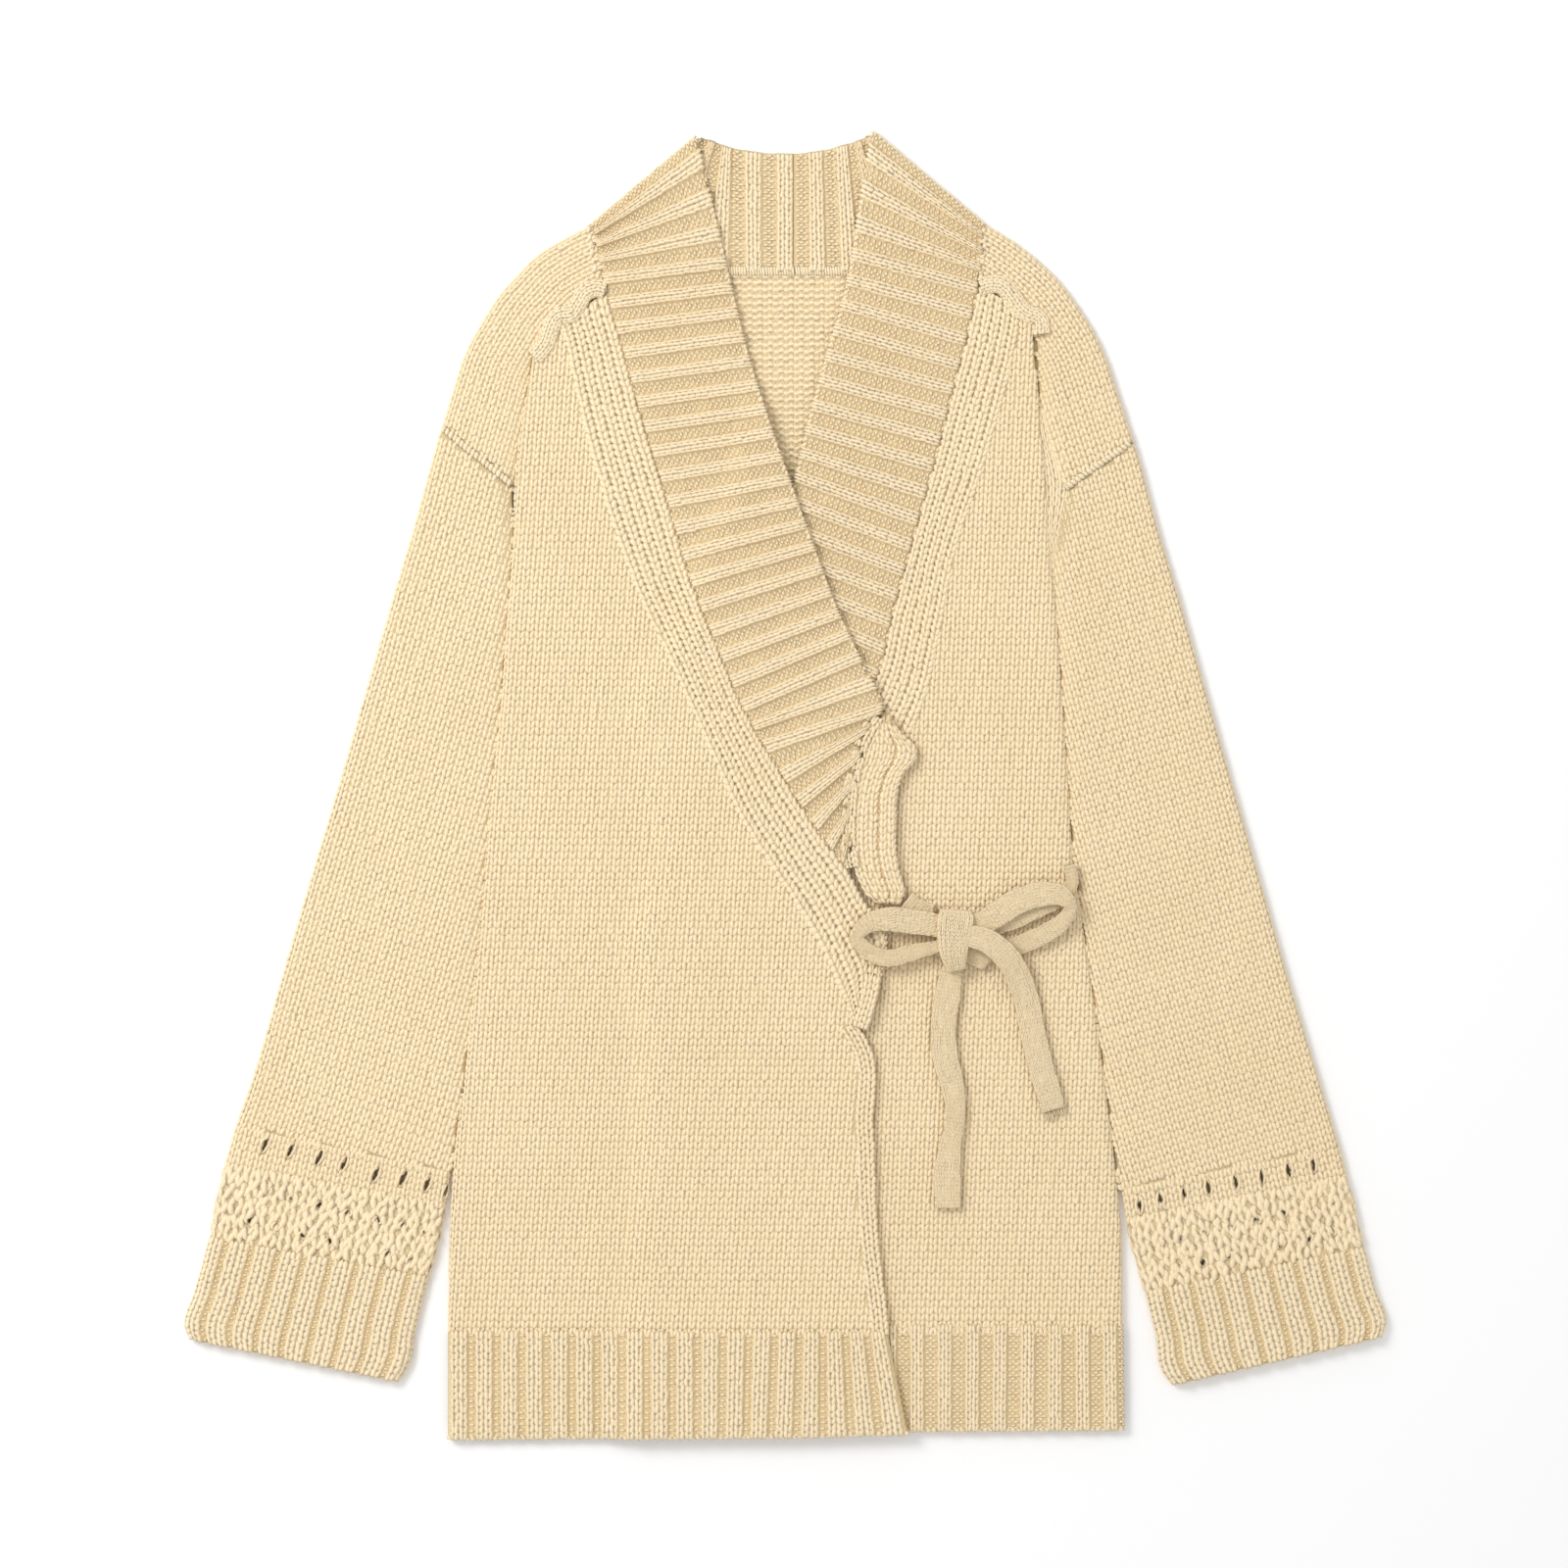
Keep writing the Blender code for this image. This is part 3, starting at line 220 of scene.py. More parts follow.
# Tie stretches. Columns: x, y, z of the middle, width, thickness.
LOOP_RIGHT = (
    (101.0, -90.0, 13.6, 14.0, 4.0), (94.4, -88.0, 14.6, 15.0, 4.0), (80.6, -86.0, 15.4, 16.0, 4.0),
    (65.0, -84.4, 16.4, 15.5, 4.0), (53.0, -87.0, 16.6, 12.0, 4.2), (46.0, -95.6, 16.6, 9.0, 4.6),
    (53.0, -105.0, 16.6, 10.5, 4.2), (65.0, -109.0, 16.4, 11.0, 4.0), (80.6, -105.6, 15.0, 10.5, 4.0),
    (94.4, -102.4, 14.4, 8.5, 4.0), (101.0, -101.0, 13.6, 8.0, 4.0))
LOOP_LEFT = (
    (112.0, -90.4, 13.4, 13.5, 4.2), (119.6, -88.6, 14.2, 14.5, 4.2), (126.5, -86.6, 14.2, 15.5, 4.2),
    (133.8, -82.0, 14.2, 16.5, 4.2), (150.6, -72.0, 14.2, 16.5, 4.2), (163.8, -68.6, 14.2, 16.0, 4.2),
    (175.6, -69.6, 14.4, 13.0, 4.4), (181.6, -76.5, 14.6, 8.5, 4.6), (177.5, -85.0, 13.6, 10.5, 4.4),
    (166.5, -93.2, 11.8, 12.5, 4.2), (152.5, -99.8, 10.4, 12.5, 4.2), (143.0, -103.6, 10.1, 12.0, 4.2),
    (135.4, -107.0, 10.0, 11.0, 4.2))
LEAD_RIGHT = ((77.2, -72.5, 10.4, 13.0, 4.0), (83.0, -77.0, 9.9, 14.0, 4.0), (89.0, -81.0, 9.7, 15.0, 4.0),
              (94.2, -82.4, 9.7, 14.0, 4.0))
LEAD_LEFT = ((181.0, -50.0, 9.8, 8.0, 4.0), (183.0, -60.0, 9.8, 8.5, 4.0), (178.0, -69.0, 9.8, 10.0, 4.0),
             (162.0, -77.0, 9.8, 13.0, 4.0), (137.0, -87.0, 9.8, 14.0, 4.0), (120.2, -90.6, 9.8, 14.0, 4.0))
KNOT = (
    (109.0, -78.4, 13.6, 20.0, 8.0), (108.6, -83.0, 15.2, 23.4, 9.0), (107.4, -92.0, 15.8, 22.0, 9.6),
    (107.0, -101.0, 15.8, 20.0, 9.6), (107.8, -109.0, 15.2, 16.5, 9.4), (109.6, -117.0, 13.4, 11.0, 8.0))
UNDERFOLD = (
    (113.0, -104.0, 10.4, 12.0, 4.4), (119.4, -107.0, 10.4, 13.0, 5.4), (123.6, -109.0, 10.2, 13.0, 4.4),
    (128.6, -114.0, 10.0, 9.0, 4.2))
TAIL_RIGHT = (
    (111.0, -93.6, 16.0, 13.0, 4.2), (119.2, -95.4, 18.4, 14.5, 4.2), (126.0, -97.0, 18.8, 15.5, 4.2),
    (132.0, -100.4, 18.6, 16.0, 4.2), (141.3, -109.0, 17.2, 16.5, 4.2), (149.4, -123.4, 12.4, 16.5, 4.2),
    (153.0, -133.0, 10.2, 16.5, 4.2), (157.5, -154.7, 9.9, 16.5, 4.2), (162.5, -176.6, 9.9, 16.5, 4.2),
    (167.0, -192.0, 9.9, 16.5, 4.2), (171.0, -206.0, 9.9, 15.5, 4.0))
TAIL_LEFT = (
    (108.0, -112.0, 10.4, 11.0, 4.4), (105.8, -118.6, 10.2, 14.0, 4.4), (103.8, -132.8, 9.9, 16.5, 4.2),
    (101.3, -147.8, 9.9, 16.5, 4.2), (102.0, -171.6, 9.9, 16.5, 4.2), (107.0, -192.0, 9.9, 15.0, 4.2),
    (108.8, -211.6, 10.0, 12.0, 4.4), (105.6, -227.0, 9.9, 14.0, 4.2), (103.8, -243.4, 9.9, 16.5, 4.2),
    (103.8, -268.4, 9.9, 17.0, 4.2))

# Edge profiles. Columns: distance inwards from the edge, drop below the flat face.
FOLD = ((0.0, 6.9), (0.0, 4.7), (0.8, 2.1), (3.5, 0.4), (8.0, 0.0))
ROLL = ((0.0, 3.0), (0.0, 1.8), (0.4, 0.8), (1.6, 0.2), (4.0, 0.0))

# How the inner edge of a sleeve or saddle slips down beside its neighbour.
TUCK = ((0.0, 4.2), (0.0, 3.2), (2.5, 1.7), (7.0, 0.5), (12.0, 0.0))

# Grains of yarn, a row for each ring. Columns: place across and along the cell as shares of it, height in mm,
# half width as a share of the cell.
KNIT_LEG = (
    (0.04, -0.66, -0.7, 0.0), (0.15, -0.32, 0.12, 0.24), (0.26, 0.10, 0.35, 0.30),
    (0.30, 0.54, -0.05, 0.27), (0.27, 1.00, -1.2, 0.0))
PURL_ARCH = ((-0.52, -0.20, -0.8, 0.0), (-0.22, 0.05, 0.1, 0.42), (0.0, 0.15, 0.25, 0.50),
             (0.22, 0.05, 0.1, 0.42), (0.52, -0.20, -0.8, 0.0))
PURL_DIP = ((-0.02, 0.20, -0.8, 0.0), (0.28, -0.05, 0.0, 0.42), (0.5, -0.15, 0.15, 0.50),
            (0.72, -0.05, 0.0, 0.42), (1.02, 0.20, -0.8, 0.0))
PLAIN_LEG = ((0.03, -0.70, -0.7, 0.0), (0.19, -0.22, 0.28, 0.29), (0.28, 0.42, 0.12, 0.32),
             (0.27, 1.00, -1.2, 0.0))
RIB_LEG = ((0.12, -0.72, -0.2, 0.0), (0.21, -0.24, 0.2, 0.30), (0.27, 0.42, 0.16, 0.31),
           (0.26, 1.06, -0.5, 0.0))
WRAP = ((-0.52, -0.35, -0.5, 0.0), (-0.28, -0.15, 0.0, 0.55), (0.0, 0.0, 0.12, 0.62),
        (0.28, 0.15, 0.0, 0.55), (0.52, 0.35, -0.5, 0.0))
RIM = ((0.02, -0.66, -0.4, 0.0), (0.36, -0.34, 0.6, 0.20), (0.50, 0.0, 0.8, 0.22), (0.36, 0.34, 0.6, 0.20),
       (0.02, 0.66, -0.4, 0.0))
BOLD_LEG = (
    (0.0, -0.66, -0.7, 0.0), (0.17, -0.28, 0.35, 0.28), (0.31, 0.24, 0.4, 0.31), (0.34, 0.90, -0.9, 0.0))
STRAND = ((0.0, -0.62, -0.3, 0.0), (0.0, -0.1, 0.1, 0.5), (0.05, 0.3, 0.0, 0.4), (0.1, 0.6, -0.4, 0.0))
BUMP = (
    (-0.44, -0.14, -0.5, 0.0), (-0.15, 0.06, 0.15, 0.29), (0.15, 0.06, 0.15, 0.29),
    (0.44, -0.14, -0.5, 0.0))

# Lines read on the picture, in its pixels: folds at the shoulders, rolled seams at the armholes and neck.
SHOULDER_RIGHT = (
    (618, 296), (610, 294), (598, 298), (590, 310), (583, 320), (569, 323), (562, 336), (556, 352),
    (545, 365))
SHOULDER_LEFT = ((1000, 293), (1010, 290), (1022, 291), (1032, 301), (1041, 314), (1048, 320), (1060, 325),
                 (1063, 342))
ARMHOLE_RIGHT = ((451, 436), (475, 456), (500, 476), (523, 495))
ARMHOLE_LEFT = ((1153, 452), (1130, 468), (1108, 483), (1087, 498))
NECK_RIGHT = ((600, 230), (603, 250), (606, 270), (616, 294))
NECK_LEFT = ((1003, 232), (1005, 250), (1002, 270), (1000, 291))

# Slits above the openwork bands, in pixels of the picture.
OPENWORK_SLITS_RIGHT = ((271, 1167), (296, 1173), (325, 1182), (350, 1189), (383, 1198), (411, 1202),
                        (436, 1208), (455, 1216))
OPENWORK_SLITS_LEFT = ((1163, 1230), (1184, 1224), (1208, 1219), (1233, 1212), (1261, 1207), (1287, 1200),
                       (1315, 1194), (1340, 1188))

# Join of the collar and its tab, and the eyelets on it, in pixels of the picture.
JOIN = ((895, 731), (885, 745), (879, 758), (873, 780), (868, 805), (866, 830), (866, 860), (870, 885))
EYELETS = ((881, 741), (880, 752), (876, 765), (871, 787), (866, 824), (867, 862))

# Smooth gusset where the left sleeve goes under the body, in pixels. Columns: left x, y, right x, y.
GUSSET = ((1054, 415, 1070, 415), (1058, 450, 1080, 455), (1062, 482, 1092, 496),
          (1064, 505, 1090, 508), (1065, 530, 1085, 532), (1067, 556, 1080, 558), (1069, 580, 1077, 580))

HEM_CORNER = (-211.2, -414.0)
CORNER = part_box("hem_rib_back")[0]
SHIFT = np.array((HEM_CORNER[0] - CORNER.x / MM, HEM_CORNER[1] - CORNER.y / MM, 0.0))
FINISHES = {}


def smooth_step(value):
    """Rise from 0 to 1 with flat ends."""
    value = np.clip(value, 0.0, 1.0)
    return value * value * (3.0 - 2.0 * value)


def smooth_curve(knots, rows, where):
    """Read a smooth curve through the rows of a table at places given on the same scale as its knots."""
    knots = np.asarray(knots, float)
    rows = np.asarray(rows, float)
    slopes = np.gradient(rows, knots, axis=0)
    where = np.clip(np.asarray(where, float), knots[0], knots[-1])
    index = np.clip(np.searchsorted(knots, where, side="right") - 1, 0, len(knots) - 2)
    span = knots[index + 1] - knots[index]
    t = ((where - knots[index]) / span)[:, None]
    span = span[:, None]
    return ((2 * t**3 - 3 * t**2 + 1) * rows[index] + (t**3 - 2 * t**2 + t) * span * slopes[index]
            + (3 * t**2 - 2 * t**3) * rows[index + 1] + (t**3 - t**2) * span * slopes[index + 1])


def line_x(table, y, column=1):
    """X of a line at each height, from a table whose first column is y."""
    table = np.asarray(table, float)
    return smooth_curve(table[:, 0], table[:, column:column + 1], np.atleast_1d(y))[:, 0]


def lengths(points):
    """Distance along a line of points."""
    steps = np.linalg.norm(np.diff(np.asarray(points, float), axis=0), axis=1)
    return np.concatenate([[0.0], np.cumsum(steps)])


def dense(table, step=3.0):
    """A table of stations again with many more rows."""
    table = np.asarray(table, float)
    middle = (table[:, 0:2] + table[:, 2:4]) / 2 if table.shape[1] == 4 else table[:, 0:2]
    knots = lengths(middle)
    count = int(knots[-1] / step) + 2
    return smooth_curve(knots, table, np.linspace(0.0, knots[-1], count))


def profile(arc, points):
    """Distance inwards and drop at each arc length from the outer end of an edge profile."""
    points = np.asarray(points, float)
    knots = lengths(points)
    fine = np.linspace(0.0, knots[-1], 60)
    curve = smooth_curve(knots, points, fine)
    arc = np.asarray(arc, float)
    past = np.maximum(arc - knots[-1], 0.0)
    return np.interp(arc, fine, curve[:, 0]) + past, np.interp(arc, fine, curve[:, 1])


def profile_extra(points):
    """How much longer an edge profile is than its width."""
    return lengths(points)[-1] - points[-1][0]


def drop_at(distance, points):
    """Drop of an edge profile at a distance inwards from the edge."""
    points = np.asarray(points[1:], float)
    return np.interp(distance, points[:, 0], points[:, 1])


def under_low(x, y):
    """Underside of what lies on the back."""
    return np.full(np.shape(x), LAYER)


def over_low(x, y):
    """Underside of the right side, which climbs over the hidden edge of the left side."""
    edge = line_x(HIDDEN_EDGE, y)
    plain = smooth_step((y - PLAIN_LOW_Y) / PLAIN_FADE) * smooth_step((PLAIN_TOP_Y - y) / PLAIN_FADE)
    lift = OVERLAP_LIFT + (PLAIN_LIFT - OVERLAP_LIFT) * plain
    return LAYER + lift * smooth_step((x - edge + LIFT_START) / LIFT_RUN)


def inside(points, outline):
    """Which points lie inside a closed outline."""
    x, y = points[:, 0], points[:, 1]
    found = np.zeros(len(points), bool)
    for (ax, ay), (bx, by) in zip(outline, np.roll(outline, -1, axis=0)):
        if ay == by:
            continue
        crosses = (ay > y) != (by > y)
        found ^= crosses & (x < (bx - ax) * (y - ay) / (by - ay) + ax)
    return found


def edge_distance(points, line):
    """Distance of each point from a line of points."""
    best = np.full(len(points), 1e9)
    for a, b in zip(line[:-1], line[1:]):
        step = b - a
        share = np.clip(((points - a) @ step) / (step @ step), 0.0, 1.0)
        best = np.minimum(best, np.linalg.norm(points - a - share[:, None] * step, axis=1))
    return best


def rib_wave(place, knit_share):
    """Relief of broad ribs: knit wales stand up as a flat crown in each rib and purl ones sink between."""
    away = np.abs((place + 0.02) % 1.0 - 0.5)
    return smooth_step((knit_share / 2 + 0.05 - away) / 0.09)


class Weave:
    """Grains of yarn laid on a surface and gathered into one mesh."""

    def __init__(self, seed):
        self.random = np.random.default_rng(seed)
        self.points = []
        self.faces = []
        self.corners = []
        self.uvs = []
        self.tones = []
        self.total = 0

    def lay(self, surface, cells, path, sideways=(1.0, 0.0), lift=0.0, height=1.0, mirror=False, wander=0.03):
        """Lay one grain in every cell. Cells have columns: u, v, size in u, size in v."""
        if len(cells) == 0:
            return
        rings = np.asarray(path, float)
        if mirror:
            rings = rings * (-1.0, 1.0, 1.0, 1.0)
        places, faces = grain(rings, np.asarray(sideways))
        count, corners = len(cells), len(places)
        drift = self.random.normal(0.0, wander, (count, 1, 3))
        u = cells[:, 0:1] + (places[None, :, 0] + drift[:, :, 0]) * cells[:, 2:3]
        v = cells[:, 1:2] + (places[None, :, 1] + drift[:, :, 1]) * cells[:, 3:4]
        rise = places[None, :, 2] * height + drift[:, :, 2] * 3.0 + lift
        point, normal, turned = with_normals(surface, u.ravel(), v.ravel(), cells[0, 2:4])
        self.points.append(point + normal * rise.reshape(-1, 1))
        if turned:
            faces = [face[::-1] for face in faces]
        flat = np.concatenate([np.asarray(face) for face in faces])
        starts = np.arange(count) * corners + self.total
        self.faces.append((flat[None, :] + starts[:, None]).ravel())
        self.corners.append(np.tile([len(face) for face in faces], count))
        self.uvs.append(np.tile(places[:, 3:5], (count, 1)))
        self.tones.append(np.repeat(self.random.normal(0.0, 1.0, count), corners))
        self.total += count * corners

    def finish(self, name, material, slot):
        """Make the gathered grains one object that rides on the garment."""
        points = to_frame(np.concatenate(self.points))
        loops = np.concatenate(self.faces)
        sizes = np.concatenate(self.corners)
        mesh = bpy.data.meshes.new(name)
        mesh.vertices.add(len(points))
        mesh.vertices.foreach_set("co", points.ravel())
        mesh.loops.add(len(loops))
        mesh.loops.foreach_set("vertex_index", loops)
        mesh.polygons.add(len(sizes))
        mesh.polygons.foreach_set("loop_start", np.concatenate([[0], np.cumsum(sizes)[:-1]]))
        mesh.polygons.foreach_set("use_smooth", np.ones(len(sizes), bool))
        uv = mesh.uv_layers.new(name="UVMap")
        uv.data.foreach_set("uv", np.concatenate(self.uvs)[loops].ravel())
        tone = mesh.attributes.new("tone", "FLOAT", "POINT")
        tone.data.foreach_set("value", np.concatenate(self.tones))
        mesh.update(calc_edges=True)
        mesh.validate()
        return add_piece(name, mesh, material)


def grain(rings, sideways):
    """Points and faces of one closed grain: a tip, three-sided rings, and a tip."""
    run = lengths(rings[:, 0:2])
    places = [(*rings[0, 0:3], 0.0, 0.5)]
    for ring, along in zip(rings[1:-1], run[1:-1]):
        for side, around in ((-1.0, 0.0), (0.0, 0.5), (1.0, 1.0)):
            shift = side * ring[3] * sideways
            drop = YARN_DROP if side else 0.0
            places.append((ring[0] + shift[0], ring[1] + shift[1], ring[2] - drop, along, around))
    places.append((*rings[-1, 0:3], run[-1], 0.5))
    places = np.asarray(places, float)
    middle = len(rings) - 2
    last = len(places) - 1
    faces = []
    for k in range(3):
        after = (k + 1) % 3
        faces.append((0, 1 + k, 1 + after))
        faces.append((last, last - 3 + after, last - 3 + k))
        for ring in range(middle - 1):
            a = 1 + 3 * ring
            faces.append((a + k, a + 3 + k, a + 3 + after, a + after))
    solid = places[:, 0:3] - places[:, 0:3].mean(axis=0)
    volume = 0.0
    for face in faces:
        for b, c in zip(face[1:-1], face[2:]):
            volume += solid[face[0]] @ np.cross(solid[b], solid[c])
    if volume < 0:
        faces = [face[::-1] for face in faces]
    return places, faces


def with_normals(surface, u, v, sizes):
    """Points of a surface, its outward normals, and whether its own sides are turned over."""
    point = surface(u, v)
    du, dv = 0.12 * sizes[0], 0.12 * sizes[1]
    across = surface(u + du, v) - surface(u - du, v)
    along = surface(u, v + dv) - surface(u, v - dv)
    normal = np.cross(across, along)
    normal /= np.maximum(np.linalg.norm(normal, axis=1), 1e-9)[:, None]
    turned = bool(np.sum(normal[:, 2]) < 0)
    return point, -normal if turned else normal, turned


def to_frame(points):
    """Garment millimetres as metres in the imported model's frame."""
    return ((points - SHIFT) * MM).astype(np.float32)


def cell_grid(us, vs, size_u, size_v):
    """A cell at every crossing of two lists of places."""
    u, v = np.meshgrid(us, vs)
    return np.stack([u.ravel(), v.ravel(), np.full(u.size, size_u), np.full(u.size, size_v)], axis=1)


def add_piece(name, mesh, material):
    """Link a finished mesh, give it its material and let it ride on the garment."""
    piece = bpy.data.objects.new(name, mesh)
    bpy.context.scene.collection.objects.link(piece)
    mesh.materials.append(material)
    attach(piece, "root")
    return piece


def finish_grid(mesh, flat):
    """Make a mesh smooth and give each corner the UV of its point."""
    loops = np.zeros(len(mesh.loops), np.int32)
    mesh.loops.foreach_get("vertex_index", loops)
    uv = mesh.uv_layers.new(name="UVMap")
    uv.data.foreach_set("uv", flat[loops].astype(np.float32).ravel())
    mesh.polygons.foreach_set("use_smooth", np.ones(len(mesh.polygons), bool))


def in_hole(points, holes, grow):
    """Which points lie in a long hole. Columns of holes: x, y, half length, half width, tilt from upright."""
    found = np.zeros(len(points), bool)
    for x, y, long, wide, tilt in holes:
        dx, dy = points[:, 0] - x, points[:, 1] - y
        along = dx * math.sin(tilt) + dy * math.cos(tilt)
        across = dx * math.cos(tilt) - dy * math.sin(tilt)
        found |= (along / (long * grow)) ** 2 + (across / (wide * grow)) ** 2 < 1.0
    return found


def opened(place, faces, holes):
    """Cut long holes in a grid: drop the faces inside them and move the rims onto the holes' outlines."""
    kept = faces[~in_hole(place[faces].mean(axis=1), holes, 1.0)]
    rim = np.unique(kept)
    for x, y, long, wide, tilt in holes:
        away = place[rim, 0:2] - (x, y)
        along = away[:, 0] * math.sin(tilt) + away[:, 1] * math.cos(tilt)
        across = away[:, 0] * math.cos(tilt) - away[:, 1] * math.sin(tilt)
        size = np.hypot(along / long, across / wide)
        grow = np.where(size < 1.0, 1.0 / np.maximum(size, 0.3), 1.0)
        place[rim, 0:2] = (x, y) + away * grow[:, None]
    return kept


def ground(name, surface, us, vs, material, nodes, sink=GROUND_SINK, thick=GROUND_THICK,
           uv_scale=(1.0, 1.0), holes=()):
    """The cloth under the stitches: a grid on the surface, given its wall by Solidify."""
    us, vs = np.asarray(us, float), np.asarray(vs, float)
    if us.ndim == 1:
        us, vs = np.meshgrid(us, vs)
    rows, columns = us.shape
    steps = [max(float(np.abs(np.diff(grid, axis=axis)).mean()), 1e-6) for grid, axis in ((us, 1), (vs, 0))]
    point, normal, _ = with_normals(surface, us.ravel(), vs.ravel(), steps)
    place = point - normal * sink
    corner = (np.arange(rows - 1)[:, None] * columns + np.arange(columns - 1)[None, :]).ravel()
    faces = np.stack([corner, corner + 1, corner + columns + 1, corner + columns], axis=1)
    across = place[faces[:, 1]] - place[faces[:, 0]]
    along = place[faces[:, 3]] - place[faces[:, 0]]
    if np.sum(np.cross(across, along) * normal[faces[:, 0]]) < 0:
        faces = faces[:, ::-1]
    if len(holes):
        faces = opened(place, faces, holes)
    used = np.unique(faces)
    order = np.full(len(place), -1)
    order[used] = np.arange(len(used))
    mesh = bpy.data.meshes.new(name)
    mesh.from_pydata(to_frame(place[used]).tolist(), [], order[faces].tolist())
    finish_grid(mesh, np.stack([us.ravel() * uv_scale[0], vs.ravel() * uv_scale[1]], axis=1)[used])
    piece = add_piece(name, mesh, material)
    wall = piece.modifiers.new("wall", "SOLIDIFY")
    wall.thickness = thick * MM
    wall.offset = -1.0
    bpy.context.view_layer.objects.active = piece
    bpy.ops.object.modifier_apply(modifier=wall.name)
    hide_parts(*nodes)
    return piece


def declare(piece, held, rests_on, *with_pieces, flat=None):
    """Work out the cut of a panel of cloth, its length and width scaled up to the area of its upper face; the
    result is not kept.
    """
    area = sum(face.area for face in piece.data.polygons) / 2
    if flat is None:
        points = np.array([vertex.co[0:2] for vertex in piece.data.vertices])
        points -= points.mean(axis=0)
        turned = points @ np.linalg.svd(points, full_matrices=False)[2].T
        flat = turned.max(axis=0) - turned.min(axis=0)
    flat = np.asarray(flat, float) * max(1.0, math.sqrt(area / (flat[0] * flat[1])))


def linear(code):
    """A linear colour from an sRGB hex code."""
    values = [int(code[k:k + 2], 16) / 255 for k in (1, 3, 5)]
    return tuple(v / 12.92 if v <= 0.04045 else ((v + 0.055) / 1.055) ** 2.4 for v in values) + (1.0,)


def node(tree, kind, settings=(), inputs=(), links=()):
    """Add a shader node with its settings, its input values and the sockets that feed it."""
    made = tree.nodes.new(kind)
    for name, value in dict(settings).items():
        setattr(made, name, value)
    for name, value in dict(inputs).items():
        made.inputs[name].default_value = value
    for name, socket in dict(links).items():
        tree.links.new(socket, made.inputs[name])
    return made


def cotton(name, light, dark, ply=1.0):
    """Spun cotton yarn: matt, lighter and darker from stitch to stitch, with its twist in the bump."""
    material = bpy.data.materials.new(name)
    material.use_nodes = True
    tree = material.node_tree
    shader = tree.nodes["Principled BSDF"]
    place = node(tree, "ShaderNodeTexCoord")
    shade = node(tree, "ShaderNodeAttribute", {"attribute_name": "tone"})
    patches = node(tree, "ShaderNodeTexNoise", inputs={"Scale": 14.0, "Detail": 3.0, "Roughness": 0.5},
                   links={"Vector": place.outputs["Object"]})
    fibre = node(tree, "ShaderNodeTexNoise", inputs={"Scale": 900.0, "Detail": 2.0, "Roughness": 0.6},
                 links={"Vector": place.outputs["Object"]})
    stitch = node(tree, "ShaderNodeMath", {"operation": "MULTIPLY_ADD"}, {1: 0.10, 2: 0.5},
                  {0: shade.outputs["Fac"]})
    blend = node(tree, "ShaderNodeMath", {"operation": "ADD"}, {},
             {0: stitch.outputs[0], 1: patches.outputs["Fac"]})
    worn = node(tree, "ShaderNodeMath", {"operation": "MULTIPLY_ADD"}, {1: 0.5, 2: 0.0},
                {0: blend.outputs[0]})
    colour = node(tree, "ShaderNodeMix", {"data_type": "RGBA"}, {6: (*dark, 1.0), 7: (*light, 1.0)},
                  {0: worn.outputs[0]})
    tree.links.new(colour.outputs[2], shader.inputs["Base Color"])
    parts = node(tree, "ShaderNodeSeparateXYZ", links={"Vector": place.outputs["UV"]})
    spiral = node(tree, "ShaderNodeMath", {"operation": "MULTIPLY_ADD"}, {1: 4.0 * ply},
                  {0: parts.outputs["X"], 2: parts.outputs["Y"]})
    twist = node(tree, "ShaderNodeMath", {"operation": "PINGPONG"}, {1: 0.5}, {0: spiral.outputs[0]})
    depth = node(tree, "ShaderNodeMath", {"operation": "ADD"}, {},
             {0: twist.outputs[0], 1: fibre.outputs["Fac"]})
    bump = node(tree, "ShaderNodeBump", inputs={"Strength": 0.35, "Distance": 0.0003},
                links={"Height": depth.outputs[0]})
    tree.links.new(bump.outputs["Normal"], shader.inputs["Normal"])
    shader.inputs["Roughness"].default_value = 0.9
    shader.inputs["IOR"].default_value = 1.45
    shader.inputs["Specular IOR Level"].default_value = 0.25
    shader.inputs["Sheen Weight"].default_value = 0.2
    shader.inputs["Sheen Roughness"].default_value = 0.5
    return material


